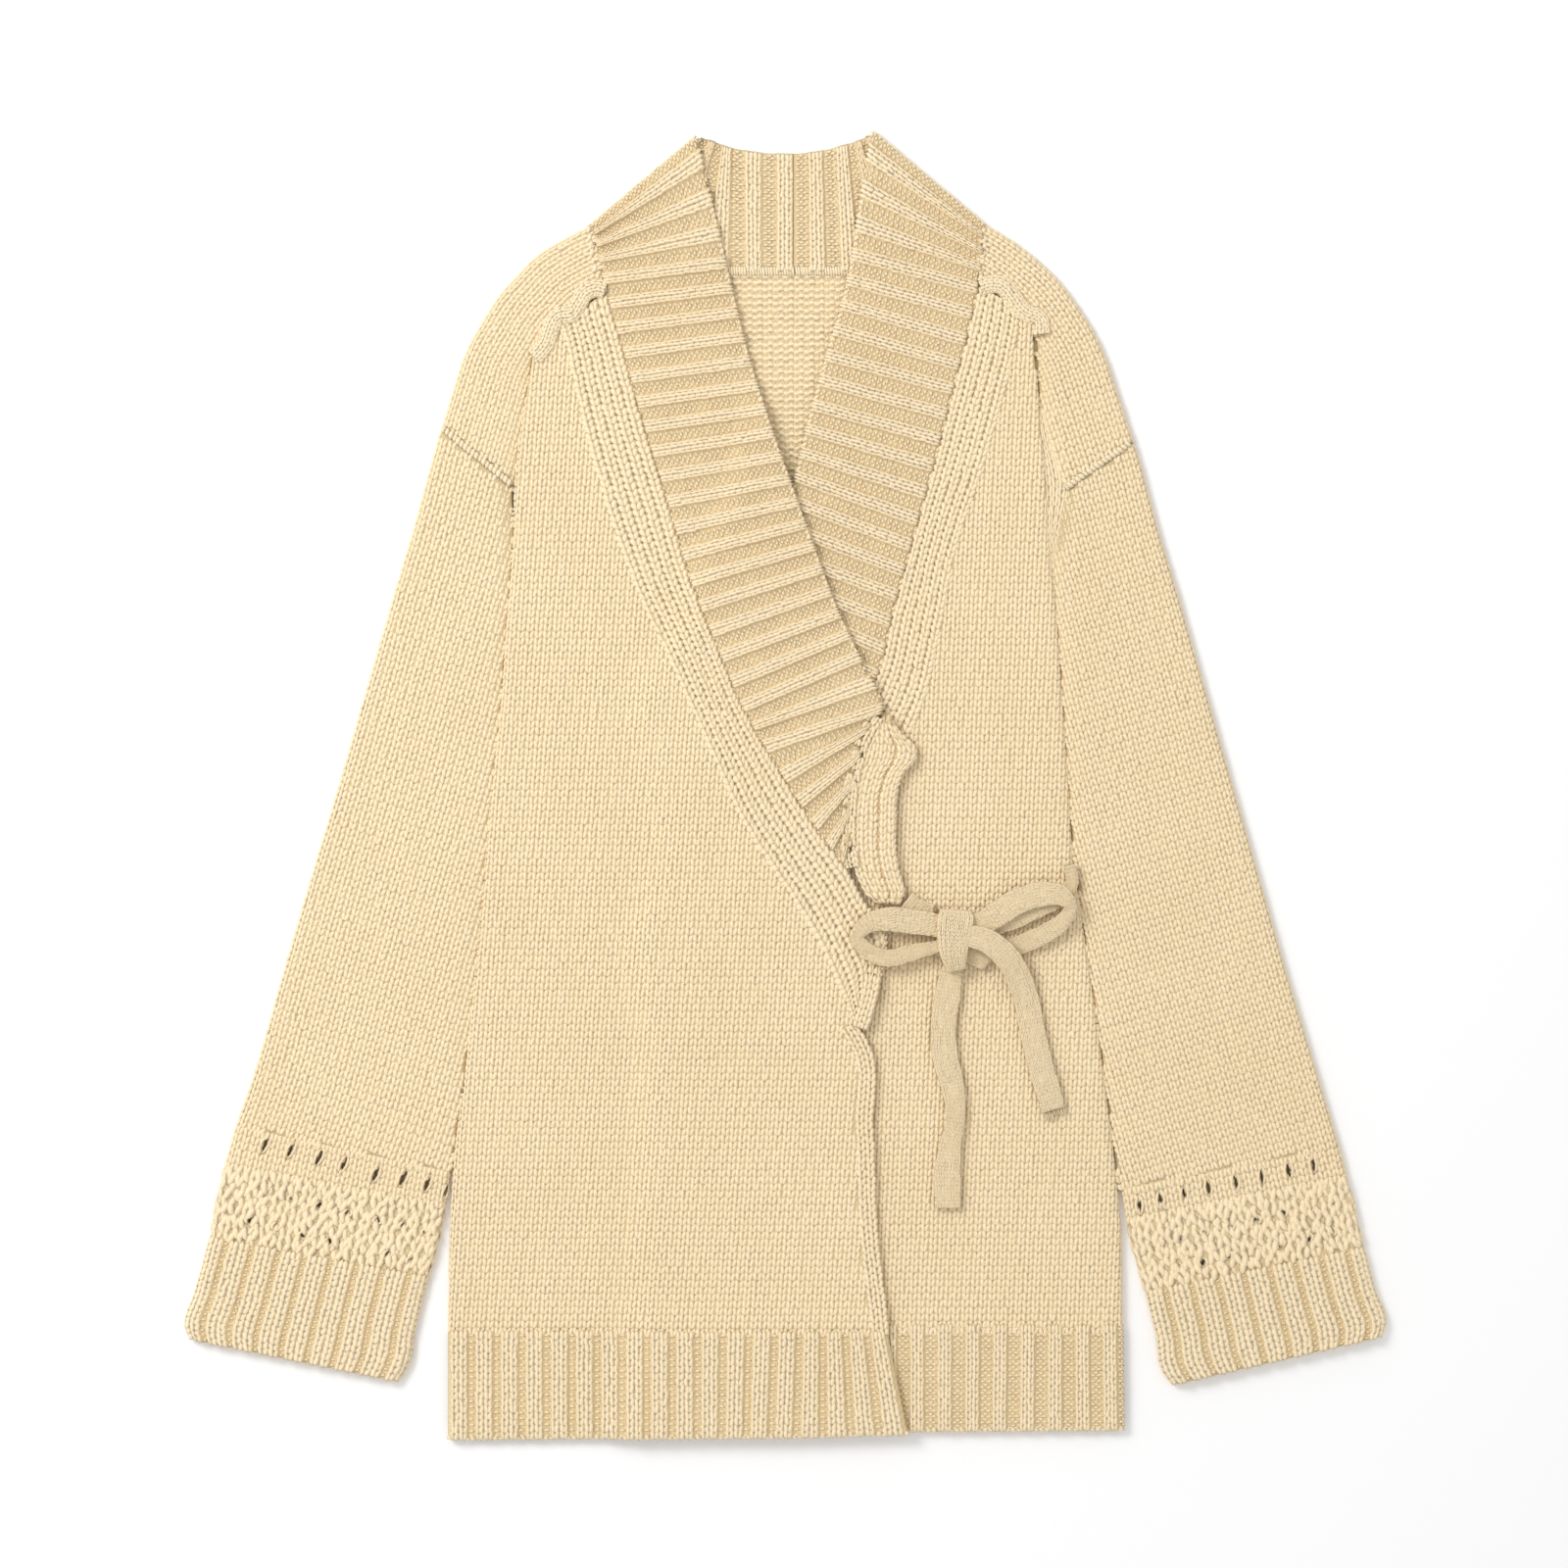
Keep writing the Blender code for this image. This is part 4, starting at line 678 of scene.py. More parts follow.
def knit_cloth(name, light, dark, wale, course):
    """Knitted cloth seen flat: the V of every stitch in the bump, from the cloth's own wales and courses,
    with painted shade darkening its colour where that relief is low.
    """
    material = bpy.data.materials.new(name)
    material.use_nodes = True
    tree = material.node_tree
    shader = tree.nodes["Principled BSDF"]
    place = node(tree, "ShaderNodeTexCoord")
    parts = node(tree, "ShaderNodeSeparateXYZ", links={"Vector": place.outputs["UV"]})
    across = node(tree, "ShaderNodeMath", {"operation": "DIVIDE"}, {1: wale}, {0: parts.outputs["X"]})
    leg = node(tree, "ShaderNodeMath", {"operation": "PINGPONG"}, {1: 0.5}, {0: across.outputs[0]})
    along = node(tree, "ShaderNodeMath", {"operation": "DIVIDE"}, {1: course}, {0: parts.outputs["Y"]})
    slant = node(tree, "ShaderNodeMath", {"operation": "MULTIPLY_ADD"}, {1: -1.4},
                 {0: leg.outputs[0], 2: along.outputs[0]})
    stitch = node(tree, "ShaderNodeMath", {"operation": "PINGPONG"}, {1: 0.5}, {0: slant.outputs[0]})
    ridge = node(tree, "ShaderNodeMath", {"operation": "PINGPONG"}, {1: 0.25}, {0: leg.outputs[0]})
    depth = node(tree, "ShaderNodeMath", {"operation": "MULTIPLY"}, {},
             {0: stitch.outputs[0], 1: ridge.outputs[0]})
    height = node(tree, "ShaderNodeMath", {"operation": "POWER"}, {1: 0.5}, {0: depth.outputs[0]})
    patches = node(tree, "ShaderNodeTexNoise", inputs={"Scale": 14.0, "Detail": 3.0, "Roughness": 0.5},
                   links={"Vector": place.outputs["Object"]})
    # Painted shade: the colour follows the stitch relief and is darker in its low parts between the legs, on
    # top of random patches.
    recess_shade = node(tree, "ShaderNodeMath", {"operation": "MULTIPLY_ADD"}, {1: 1.2, 2: -0.05},
                 {0: height.outputs[0]})
    factor = node(tree, "ShaderNodeMath", {"operation": "MULTIPLY_ADD"}, {1: 0.4},
                  {0: patches.outputs["Fac"], 2: recess_shade.outputs[0]})
    colour = node(tree, "ShaderNodeMix", {"data_type": "RGBA"}, {6: (*dark, 1.0), 7: (*light, 1.0)},
                  {0: factor.outputs[0]})
    tree.links.new(colour.outputs[2], shader.inputs["Base Color"])
    bump = node(tree, "ShaderNodeBump", inputs={"Strength": 0.9, "Distance": 0.0015},
                links={"Height": height.outputs[0]})
    tree.links.new(bump.outputs["Normal"], shader.inputs["Normal"])
    shader.inputs["Roughness"].default_value = 0.95
    shader.inputs["Specular IOR Level"].default_value = 0.2
    return material


def front_surface(column, low, lean):
    """A front: wales that lean a little, folded to the ground at the side crease below the armpit."""
    sign = 1.0 if column == 1 else -1.0

    def surface(u, v):
        crease = line_x(SIDES, v, column)
        arc = sign * (u - lean * v - crease)
        folded = smooth_step((ARMPIT_Y - v) / 12.0)
        reach_fold, drop_fold = profile(arc + profile_extra(FOLD), FOLD)
        reach_roll, drop_roll = profile(arc + profile_extra(ROLL), ROLL)
        reach = folded * reach_fold + (1.0 - folded) * reach_roll
        x = crease + sign * reach
        z = low(x, v) + CLOTH - folded * drop_fold - (1.0 - folded) * drop_roll
        return np.stack([x, v, z], axis=1)

    return surface


def edge_surface(table, low, far_edge):
    """Cloth whose wales run beside a table's first edge. U goes inwards from it and v backwards along it."""
    rows = dense(table)
    line, other = rows[::-1, 0:2], rows[::-1, 2:4]
    along = lengths(line)
    tangent = np.gradient(line, axis=0)
    for _ in range(3):
        tangent[1:-1] = (tangent[:-2] + 2 * tangent[1:-1] + tangent[2:]) / 4
    tangent /= np.linalg.norm(tangent, axis=1)[:, None]
    inward = np.stack([-tangent[:, 1], tangent[:, 0]], axis=1)
    if np.sum(inward * (other - line)) < 0:
        inward = -inward

    def surface(u, v):
        read = lambda values: np.stack([np.interp(v, along, values[:, k]) for k in (0, 1)], axis=1)
        past = v - np.clip(v, along[0], along[-1])
        reach, drop = profile(u, FOLD)
        place = read(line) + read(tangent) * past[:, None] + read(inward) * reach[:, None]
        drop = np.maximum(drop, drop_at(edge_distance(place, other), far_edge))
        z = low(place[:, 0], place[:, 1]) + CLOTH - drop
        return np.concatenate([place, z[:, None]], axis=1)

    surface.length = along[-1]
    surface.outline = np.vstack([lengthen(line, OUTLINE_SPARE), lengthen(other, OUTLINE_SPARE)[::-1]])
    surface.width = float(np.linalg.norm(other - line, axis=1).max())
    return surface


def tube_surface(table, relief=None):
    """The upper layer of a flattened tube. U is a share of the way round and v the distance from its end."""
    rows = dense(table)[::-1]
    middle = lengths((rows[:, 0:2] + rows[:, 2:4]) / 2)
    extra = profile_extra(FOLD)

    def surface(u, v):
        row = np.stack([np.interp(v, middle, rows[:, k]) for k in range(4)], axis=1)
        past = v - np.clip(v, 0.0, middle[-1])
        ahead = (rows[-1, 0:2] - rows[-2, 0:2]) / np.linalg.norm(rows[-1, 0:2] - rows[-2, 0:2])
        across = row[:, 2:4] - row[:, 0:2]
        width = np.linalg.norm(across, axis=1)
        round_all = width + 2 * extra
        arc = u * round_all
        near = arc < round_all / 2
        reach, drop = profile(np.where(near, arc, round_all - arc), FOLD)
        share = np.where(near, reach, width - reach) / width
        place = row[:, 0:2] + across * share[:, None] + ahead * past[:, None]
        rise = relief(u) * smooth_step(1.0 - drop) if relief else 0.0
        return np.concatenate([place, (LAYER + CLOTH - drop + rise)[:, None]], axis=1)

    surface.length = middle[-1]
    surface.width = float(np.linalg.norm(rows[:, 2:4] - rows[:, 0:2], axis=1).mean()) + 2 * extra
    return surface


def row_width(rows):
    """Distance between the two edges in each row of a table."""
    return np.linalg.norm(rows[:, 2:4] - rows[:, 0:2], axis=1)


def strip_surface(rows, low, ribs, rise, wave, closed=(True, True)):
    """A ribbed strip. U counts ribs from end to end and v runs from 0 to 1 across, rolled where closed."""
    rows = np.asarray(rows, float)
    knots = lengths((rows[:, 0:2] + rows[:, 2:4]) / 2)

    def surface(u, v):
        row = smooth_curve(knots, rows, u / ribs * knots[-1])
        across = row[:, 2:4] - row[:, 0:2]
        width = np.linalg.norm(across, axis=1)
        place = row[:, 0:2] + across * v[:, None]
        x, y = place[:, 0], place[:, 1]
        drop = drop_at(np.minimum(u, ribs - u) / ribs * knots[-1], ROLL)
        for shut, away in zip(closed, (v, 1.0 - v)):
            if shut:
                drop = np.maximum(drop, drop_at(away * width, ROLL))
        return np.stack([x, y, low(x, y) + CLOTH + rise * wave(u) - drop], axis=1)

    surface.length = knots[-1]
    surface.width = lambda u: row_width(smooth_curve(knots, rows, u / ribs * knots[-1]))
    return surface


def collar_rows(sign, line, table, back_table):
    """Sections of a collar's front half, from the fold at the side of the neck to its lower end."""
    table = np.asarray(table, float)
    back = np.asarray(back_table, float)
    seam_fold, free_fold = back[-1][0:2], back[-1][2:4]
    along = (free_fold - seam_fold) / np.linalg.norm(free_fold - seam_fold)
    outward = np.array((-sign * abs(along[1]), abs(along[0])))
    radius = (LAYER + CLOTH) / 2
    fold_row = back[-1] - radius * np.concatenate([outward, outward])
    seam = line_x(line, table[:, 0]) + sign * 0.25
    front_rows = np.stack([seam, table[:, 0], table[:, 1], table[:, 2]], axis=1)
    return np.vstack([fold_row, front_rows]), outward, radius


def collar_surface(sign, line, table, back_table, low):
    """A collar, up from behind the neck, over its fold and down the front. U counts ribs from the fold."""
    rows, outward, radius = collar_rows(sign, line, table, back_table)
    knots = lengths((rows[:, 0:2] + rows[:, 2:4]) / 2)
    pitch = knots[-1] / COLLAR_RIBS
    top_y = table[0][0]

    def surface(u, v):
        row = smooth_curve(knots, rows, u * pitch)
        row[:, 0] = np.where(row[:, 1] < top_y, line_x(line, row[:, 1]) + sign * 0.25, row[:, 0])
        across = row[:, 2:4] - row[:, 0:2]
        width = np.linalg.norm(across, axis=1)
        place = row[:, 0:2] + across * v[:, None]
        angle = np.pi / 2 + np.minimum(u, 0.0) * pitch / radius
        place = place + outward * (radius * np.cos(angle))[:, None]
        x, y = place[:, 0], place[:, 1]
        drop = np.maximum(drop_at((1.0 - v) * width, ROLL), 0.8 * smooth_step(1.0 - v * width / 2.0))
        fold = radius * (1.0 - np.sin(angle))
        flat = (u >= 0.0) * 1.0
        z = low(x, y) + CLOTH + flat * (COLLAR_RISE * rib_wave(u, COLLAR_KNIT) - drop) - fold
        return np.stack([x, y, z], axis=1)

    surface.pitch = pitch
    surface.start = -np.pi * radius / pitch * 0.96
    surface.width = lambda u: row_width(smooth_curve(knots, rows, u * pitch))
    return surface


def back_collar_surface(table, pitch, shift):
    """The inner face of a collar's back half, which faces up. U is the distance from the centre back."""
    rows = np.asarray(table, float)
    knots = lengths((rows[:, 0:2] + rows[:, 2:4]) / 2)

    def surface(u, v):
        row = smooth_curve(knots, rows, u)
        place = row[:, 0:2] + (row[:, 2:4] - row[:, 0:2]) * v[:, None]
        crown = BACK_COLLAR_RISE * rib_wave(u / pitch + shift, BACK_COLLAR_KNIT)
        z = CLOTH + crown - drop_at((1.0 - v) * BACK_COLLAR_HEIGHT, ROLL)
        return np.stack([place[:, 0], place[:, 1], z], axis=1)

    surface.length = knots[-1]
    return surface


def band_rows(sign, outer_line, inner_line, table):
    """Rows of a band, from the shoulder to its tip."""
    table = np.asarray(table, float)
    knots = lengths(table)
    fine = smooth_curve(knots, table, np.linspace(0, knots[-1], 90))
    outer_x = line_x(outer_line, fine[:, 0]) + sign * 0.25
    inner_x = line_x(inner_line, fine[:, 1]) - sign * 0.25
    return np.stack([outer_x, fine[:, 0], inner_x, fine[:, 1]], axis=1)


def band_surface(rows, low):
    """The five-wale band. U counts wales from the front's side and v is the distance from the tip."""
    rows = rows[::-1]
    middle = lengths((rows[:, 0:2] + rows[:, 2:4]) / 2)

    def surface(u, v):
        row = np.stack([np.interp(v, middle, rows[:, k]) for k in range(4)], axis=1)
        across = row[:, 2:4] - row[:, 0:2]
        place = row[:, 0:2] + across * (u / BAND_RIBS)[:, None]
        x, y = place[:, 0], place[:, 1]
        ridge = np.abs(np.sin(np.pi * u)) ** 0.6 * smooth_step(np.linalg.norm(across, axis=1) / 22.0)
        return np.stack([x, y, low(x, y) + CLOTH - 0.4 + (BAND_RISE + 0.1) * ridge], axis=1)

    surface.length = middle[-1]
    return surface


def strap_surface(table, corner):
    """A flat knitted strap. U goes once round it and v is the distance from its start."""
    table = np.asarray(table, float)
    knots = lengths(table[:, 0:3])
    fine = smooth_curve(knots, table, np.linspace(0, knots[-1], 80))
    tangent = np.gradient(fine[:, 0:2], axis=0)
    tangent /= np.linalg.norm(tangent, axis=1)[:, None]
    along = np.linspace(0, knots[-1], 80)

    def surface(u, v):
        x, y, z, width, thick = (np.interp(v, along, fine[:, k]) for k in range(5))
        tx, ty = (np.interp(v, along, tangent[:, k]) for k in range(2))
        angle = 2 * np.pi * u
        out = np.sign(np.cos(angle)) * np.abs(np.cos(angle)) ** corner
        up = np.sign(np.sin(angle)) * np.abs(np.sin(angle)) ** corner
        side = out * width / 2
        return np.stack([x - ty * side, y + tx * side, z + up * thick / 2], axis=1)

    surface.length = knots[-1]
    return surface


def turn_outwards(mesh):
    """Flip a closed mesh whose faces point inwards."""
    mesh.calc_loop_triangles()
    total = 0.0
    for triangle in mesh.loop_triangles:
        a, b, c = (mesh.vertices[index].co for index in triangle.vertices)
        total += a.dot(b.cross(c))
    if total < 0:
        mesh.flip_normals()


def rib_steps(ribs, knit_share):
    """Places across the ribs where their cloth needs a line of points."""
    marks = [0.98, 0.48]
    for side in (-1, 1):
        marks += [0.48 + side * (knit_share / 2 + step) for step in (-0.04, 0.01, 0.05)]
    places = sorted(rib + mark for rib in range(ribs) for mark in marks)
    return np.concatenate([[0.0], places, [float(ribs)]])


def line_surface(points, top, width=None, rise=0.0):
    """A strip along a line of points, flat or rolled. U goes across it and v along it."""
    points = np.asarray(points, float)
    along = lengths(points)
    fine = np.linspace(0.0, along[-1], int(along[-1] / 2) + 4)
    curve = smooth_curve(along, points, fine)
    tangent = np.gradient(curve, axis=0)
    tangent /= np.linalg.norm(tangent, axis=1)[:, None]

    def surface(u, v):
        x, y = (np.interp(v, fine, curve[:, k]) for k in (0, 1))
        tx, ty = (np.interp(v, fine, tangent[:, k]) for k in (0, 1))
        side = np.sin(np.pi * np.clip(u, -0.5, 0.5)) * width / 2 if width else u
        lift = np.cos(np.pi * np.clip(u, -0.5, 0.5)) * rise if width else 0.0 * u
        x, y = x + ty * side, y - tx * side
        return np.stack([x, y, top(x, y) + lift], axis=1)

    surface.length = along[-1]
    return surface


def upper(low, lift=0.0):
    """The flat upper side of the cloth whose underside is given."""
    return lambda x, y: low(x, y) + CLOTH + lift


def photo(points):
    """Places read on the 1600 pixel picture, in garment millimetres."""
    points = np.asarray(points, float)
    middle_x, middle_y = PICTURE_MIDDLE
    return MM_PER_PIXEL * np.stack([points[:, 0] - middle_x, middle_y - points[:, 1]], axis=1)


def pushed(table, amount):
    """A table of stations whose second edge is pushed outwards, by one amount or by one for each row."""
    table = np.array(table, float)
    across = table[:, 2:4] - table[:, 0:2]
    table[:, 2:4] += across / np.linalg.norm(across, axis=1)[:, None] * np.reshape(amount, (-1, 1))
    return table


def lengthen(line, amount):
    """A line of points with its two ends drawn out."""
    first, last = line[0] - line[1], line[-1] - line[-2]
    first = line[0] + first / np.linalg.norm(first) * amount
    last = line[-1] + last / np.linalg.norm(last) * amount
    return np.vstack([first, line, last])


def tube_like(rows, low):
    """A panel between two edges as shares from 0 to 1, folded at its first edge."""
    places = np.linspace(0.0, 1.0, len(rows))
    extra = profile_extra(FOLD)
    far_extra = profile_extra(TUCK)

    def surface(u, v):
        row = np.stack([np.interp(v, places, rows[:, k]) for k in range(4)], axis=1)
        across = row[:, 2:4] - row[:, 0:2]
        width = np.linalg.norm(across, axis=1)
        round_all = width + extra + far_extra
        arc = u * round_all
        near = arc < round_all / 2
        reach, drop = profile(arc, FOLD)
        far_reach, far_drop = profile(round_all - arc, TUCK)
        share = np.where(near, reach, width - far_reach) / width
        place = row[:, 0:2] + across * share[:, None]
        z = low(place[:, 0], place[:, 1]) + CLOTH - np.where(near, drop, far_drop)
        return np.concatenate([place, z[:, None]], axis=1)

    return surface


def rib_cells(first, last, courses, reach, knit_share, knit_wales=2, purl_wales=2, purl_courses=None):
    """Cells of a broad rib: knit wales on each rib and purl ones between. Returns knit and purl cells."""
    knit, purl = [], []
    knit_size = knit_share / knit_wales
    purl_size = (1.0 - knit_share) / purl_wales
    knit_at = [0.48 + knit_size * (k - (knit_wales - 1) / 2) for k in range(knit_wales)]
    purl_at = [0.98 + purl_size * (k - (purl_wales - 1) / 2) for k in range(purl_wales)]
    for rib in range(first, last):
        for wales, wide, cells, counted in ((knit_at, knit_size, knit, courses),
                                            (purl_at, purl_size, purl, purl_courses or courses)):
            for place in wales:
                u = rib + place
                count = counted(u)
                size = reach / count
                for j in range(count):
                    cells.append((u, (j + 0.5) * size, wide, size))
    return np.asarray(knit), np.asarray(purl)


def lay_knit(weave, surface, cells, lift=0.0, height=1.0, leg=KNIT_LEG, wander=0.03):
    """Two legs of yarn in every cell."""
    for mirror in (False, True):
        weave.lay(surface, cells, leg, (1.0, 0.0), lift, height, mirror, wander)


def lay_purl(weave, surface, cells):
    """A wavy row of yarn through every cell."""
    for path in (PURL_ARCH, PURL_DIP):
        weave.lay(surface, cells, path, (0.0, 1.0))


def lay_roll(weave, points, top, width, rise, pitch, height=1.0):
    """A rolled seam or edge: yarn wrapped over a line of points."""
    surface = line_surface(points, top, width, rise)
    vs = np.arange(pitch / 2, surface.length, pitch)
    cells = np.stack([np.zeros(len(vs)), vs, np.ones(len(vs)), np.full(len(vs), pitch)], axis=1)
    weave.lay(surface, cells, WRAP, (0.0, 1.0), 0.0, height)


def lay_fold(weave, points, top, width, rise):
    """A soft fold of the cloth: small stitches over a rounded ridge."""
    surface = line_surface(points, top, width, rise)
    cells = cell_grid((-0.36, -0.12, 0.12, 0.36), np.arange(1.0, surface.length, 3.0), 0.27, 3.0)
    lay_knit(weave, surface, cells, height=0.4, leg=PLAIN_LEG)


def lay_rims(weave, surface, holes, lean):
    """Yarn along both sides of every hole, leaning as it does."""
    grid_u, grid_v = np.meshgrid(np.linspace(0.02, 0.98, 240), np.linspace(0.0, surface.length, 120))
    spots = surface(grid_u.ravel(), grid_v.ravel())[:, 0:2]
    for x, y, long, wide, _ in holes:
        nearest = int(np.argmin((spots[:, 0] - x) ** 2 + (spots[:, 1] - y) ** 2))
        rim = np.asarray([(grid_u.ravel()[nearest], grid_v.ravel()[nearest], (2 * wide + 2.4) / surface.width,
                           2 * long + 1.6)])
        shear = math.tan(lean) * rim[0, 3] / (2 * wide + 2.4)
        for turn in (-1.0, 1.0):
            path = np.asarray(RIM) * (turn, 1.0, 1.0, 1.0)
            path[:, 0] += shear * path[:, 1]
            weave.lay(surface, rim, path, (1.0, 0.0), 0.1, 1.0, False, 0.04)


def lay_bumps(weave, surface, cells, first, lift=0.0, height=1.0):
    """Purl bumps in every cell, and the dips between two wales beside the cells of the first."""
    weave.lay(surface, cells, BUMP, (0.0, 1.0), lift, height)
    between = cells[first].copy()
    between[:, 0] += between[:, 2] / 2
    between[:, 1] += between[:, 3] / 2
    weave.lay(surface, between, np.asarray(BUMP) * (1.0, -1.0, 1.0, 1.0), (0.0, 1.0), lift, height)


class KnitSizes(bpy.types.PropertyGroup):
    """Sizes of the stitches."""

    wale: bpy.props.FloatProperty(
        name="Wale", description="Width of one stitch of the body", default=0.0056, unit="LENGTH")
    course: bpy.props.FloatProperty(
        name="Course", description="Height of one stitch of the body", default=0.0044, unit="LENGTH")
    rib_course: bpy.props.FloatProperty(
        name="Rib course", description="Height of one stitch of the ribs", default=0.0040, unit="LENGTH")


class KnitColours(bpy.types.PropertyGroup):
    """Colours of the yarn, of the painted shade between the stitches, and of the floor."""

    light: bpy.props.FloatVectorProperty(
        name="Yarn", description="Colour of the yarn", default=linear("#FDEBC9")[0:3], subtype="COLOR")
    # Darker end of the yarn's random tone, and also the lightest colour of the ground sheet, which is painted
    # darker than the yarn as shade.
    shade: bpy.props.FloatVectorProperty(
        name="Shade", description="Colour of the yarn's darker patches", default=linear("#F3DDB4")[0:3],
        subtype="COLOR")
    # Painted shade: the darkest colour of the ground sheet, standing for the shadow in the gaps between the
    # stitches.
    painted_gap_shade: bpy.props.FloatVectorProperty(
        name="Deep", description="Colour between the stitches", default=linear("#DAC191")[0:3],
        subtype="COLOR")
    tie: bpy.props.FloatVectorProperty(
        name="Tie", description="Colour of the tie", default=linear("#F2DFBC")[0:3], subtype="COLOR")
    floor: bpy.props.FloatVectorProperty(
        name="Floor", description="Colour of the floor", default=linear("#FFFFFF")[0:3], subtype="COLOR")


def sizes():
    """Wale, course and rib course in millimetres."""
    knit = bpy.context.scene.knit_sizes
    return knit.wale / MM, knit.course / MM, knit.rib_course / MM


def materials():
    """The jacket's finishes, made once."""
    if "body" not in FINISHES:
        codes = bpy.context.scene.knit_colours
        wale, course, _ = sizes()
        # Matt cream yarn with soft sheen: the eye sees warm, fuzzy stitches with a faint twist and no shine.
        FINISHES["body"] = cotton("spun_cotton_yarn", codes.light, codes.shade)
        # Matt cloth painted darker than the yarn, as painted shade: the eye sees shadowed knit in the gaps
        # between the stitches, not a smooth sheet.
        FINISHES["ground"] = knit_cloth("painted_shade_knit_ground", codes.shade, codes.painted_gap_shade, wale, course)
        # Close, fine knit: the eye sees the tie as a flatter, denser strap than the body. Its colour carries
        # painted shade in the low parts of each stitch.
        FINISHES["tie"] = knit_cloth("fine_knit_tie", codes.tie, codes.shade, 2.4, 2.2)
        # Thin matt yarn: the eye sees small even stitches along the tie.
        FINISHES["yarn"] = cotton("fine_cotton_yarn", codes.tie, codes.shade)
    return FINISHES


def make_back():
    """The back: purl side up inside the neck."""
    finish = materials()
    neck = ((-119, 348.6), (-80, 336.6), (-55, 331.4), (-34, 328.4), (6, 328.2), (44, 328.4), (62, 331.4),
            (87, 336.8), (124.5, 349.6))
    shoulder_right = [(x + 4.4, y - 2.0) for x, y, _, _ in SADDLE_RIGHT[::-1]][:-1]
    shoulder_left = [(x - 4.4, y - 2.0) for x, y, _, _ in SADDLE_LEFT][1:]
    top_line = np.asarray([*shoulder_right, *neck, *shoulder_left], float)
    across = top_line[:, 0]
    share = (across - across[0]) / (across[-1] - across[0])
    heights = np.linspace(-348.5, 187.0, 24)
    left = line_x(SIDES, heights, 1) + 4.6
    right = line_x(SIDES, heights, 2) - 4.6
    flat = []
    for start, end, y in zip(left, right, heights):
        flat.append(np.stack([start + (end - start) * share, np.full(len(share), y)], axis=1))
    armpit_right, armpit_left = np.array((-172.6, 194.0)), np.array((176.6, 191.4))
    armpit = armpit_right + (armpit_left - armpit_right) * share[:, None]
    flat += [armpit + (top_line - armpit) * amount for amount in np.linspace(0.0, 1.0, 9)]
    places = np.asarray(flat)
    surface = lambda u, v: np.stack([u, v, np.full(len(u), CLOTH)], axis=1)
    cloth = ground("back_panel_cloth", surface, places[:, :, 0], places[:, :, 1], finish["ground"],
                   ["back_panel"], thick=2.2)
    wale, course = 6.6, 4.4
    cells = cell_grid(np.arange(-75.0, 80.0, wale), np.arange(168.0, 328.0, course), wale, course)
    right_edge = np.asarray(COLLAR_RIGHT)[::-1]
    left_edge = np.asarray(COLLAR_LEFT)[::-1]
    low_x = np.interp(cells[:, 1], right_edge[:, 2], right_edge[:, 1]) - 12.0
    high_x = np.interp(cells[:, 1], left_edge[:, 2], left_edge[:, 1]) + 12.0
    keep = (cells[:, 0] > low_x) & (cells[:, 0] < high_x)
    weave = Weave(3)
    lay_purl(weave, surface, cells[keep])
    stitches = weave.finish("back_panel_stitches", finish["body"], "purl_knit")
    declare(cloth, "laid", [], stitches)


def make_under(name, table, slot):
    """The under layer of a sleeve, openwork band or cuff, or the back of the hem."""
    finish = materials()
    rows = dense(table, 8.0)
    places = np.linspace(0.0, 1.0, len(rows))
    thin = 1.6 if slot == "openwork_knit" else 3.2

    def surface(u, v):
        row = np.stack([np.interp(v, places, rows[:, k]) for k in range(4)], axis=1)
        across = row[:, 2:4] - row[:, 0:2]
        width = np.linalg.norm(across, axis=1)
        side = UNDER_INSET + (width - UNDER_NARROWER) * u
        place = row[:, 0:2] + across * (side / width)[:, None]
        return np.concatenate([place, np.full((len(u), 1), thin)], axis=1)

    cloth = ground(f"{name}_cloth", surface, np.linspace(0, 1, 12), places, finish["ground"], [name],
                   sink=0.0, thick=thin - 0.1, uv_scale=(100.0, 400.0))
    declare(cloth, "laid", [])


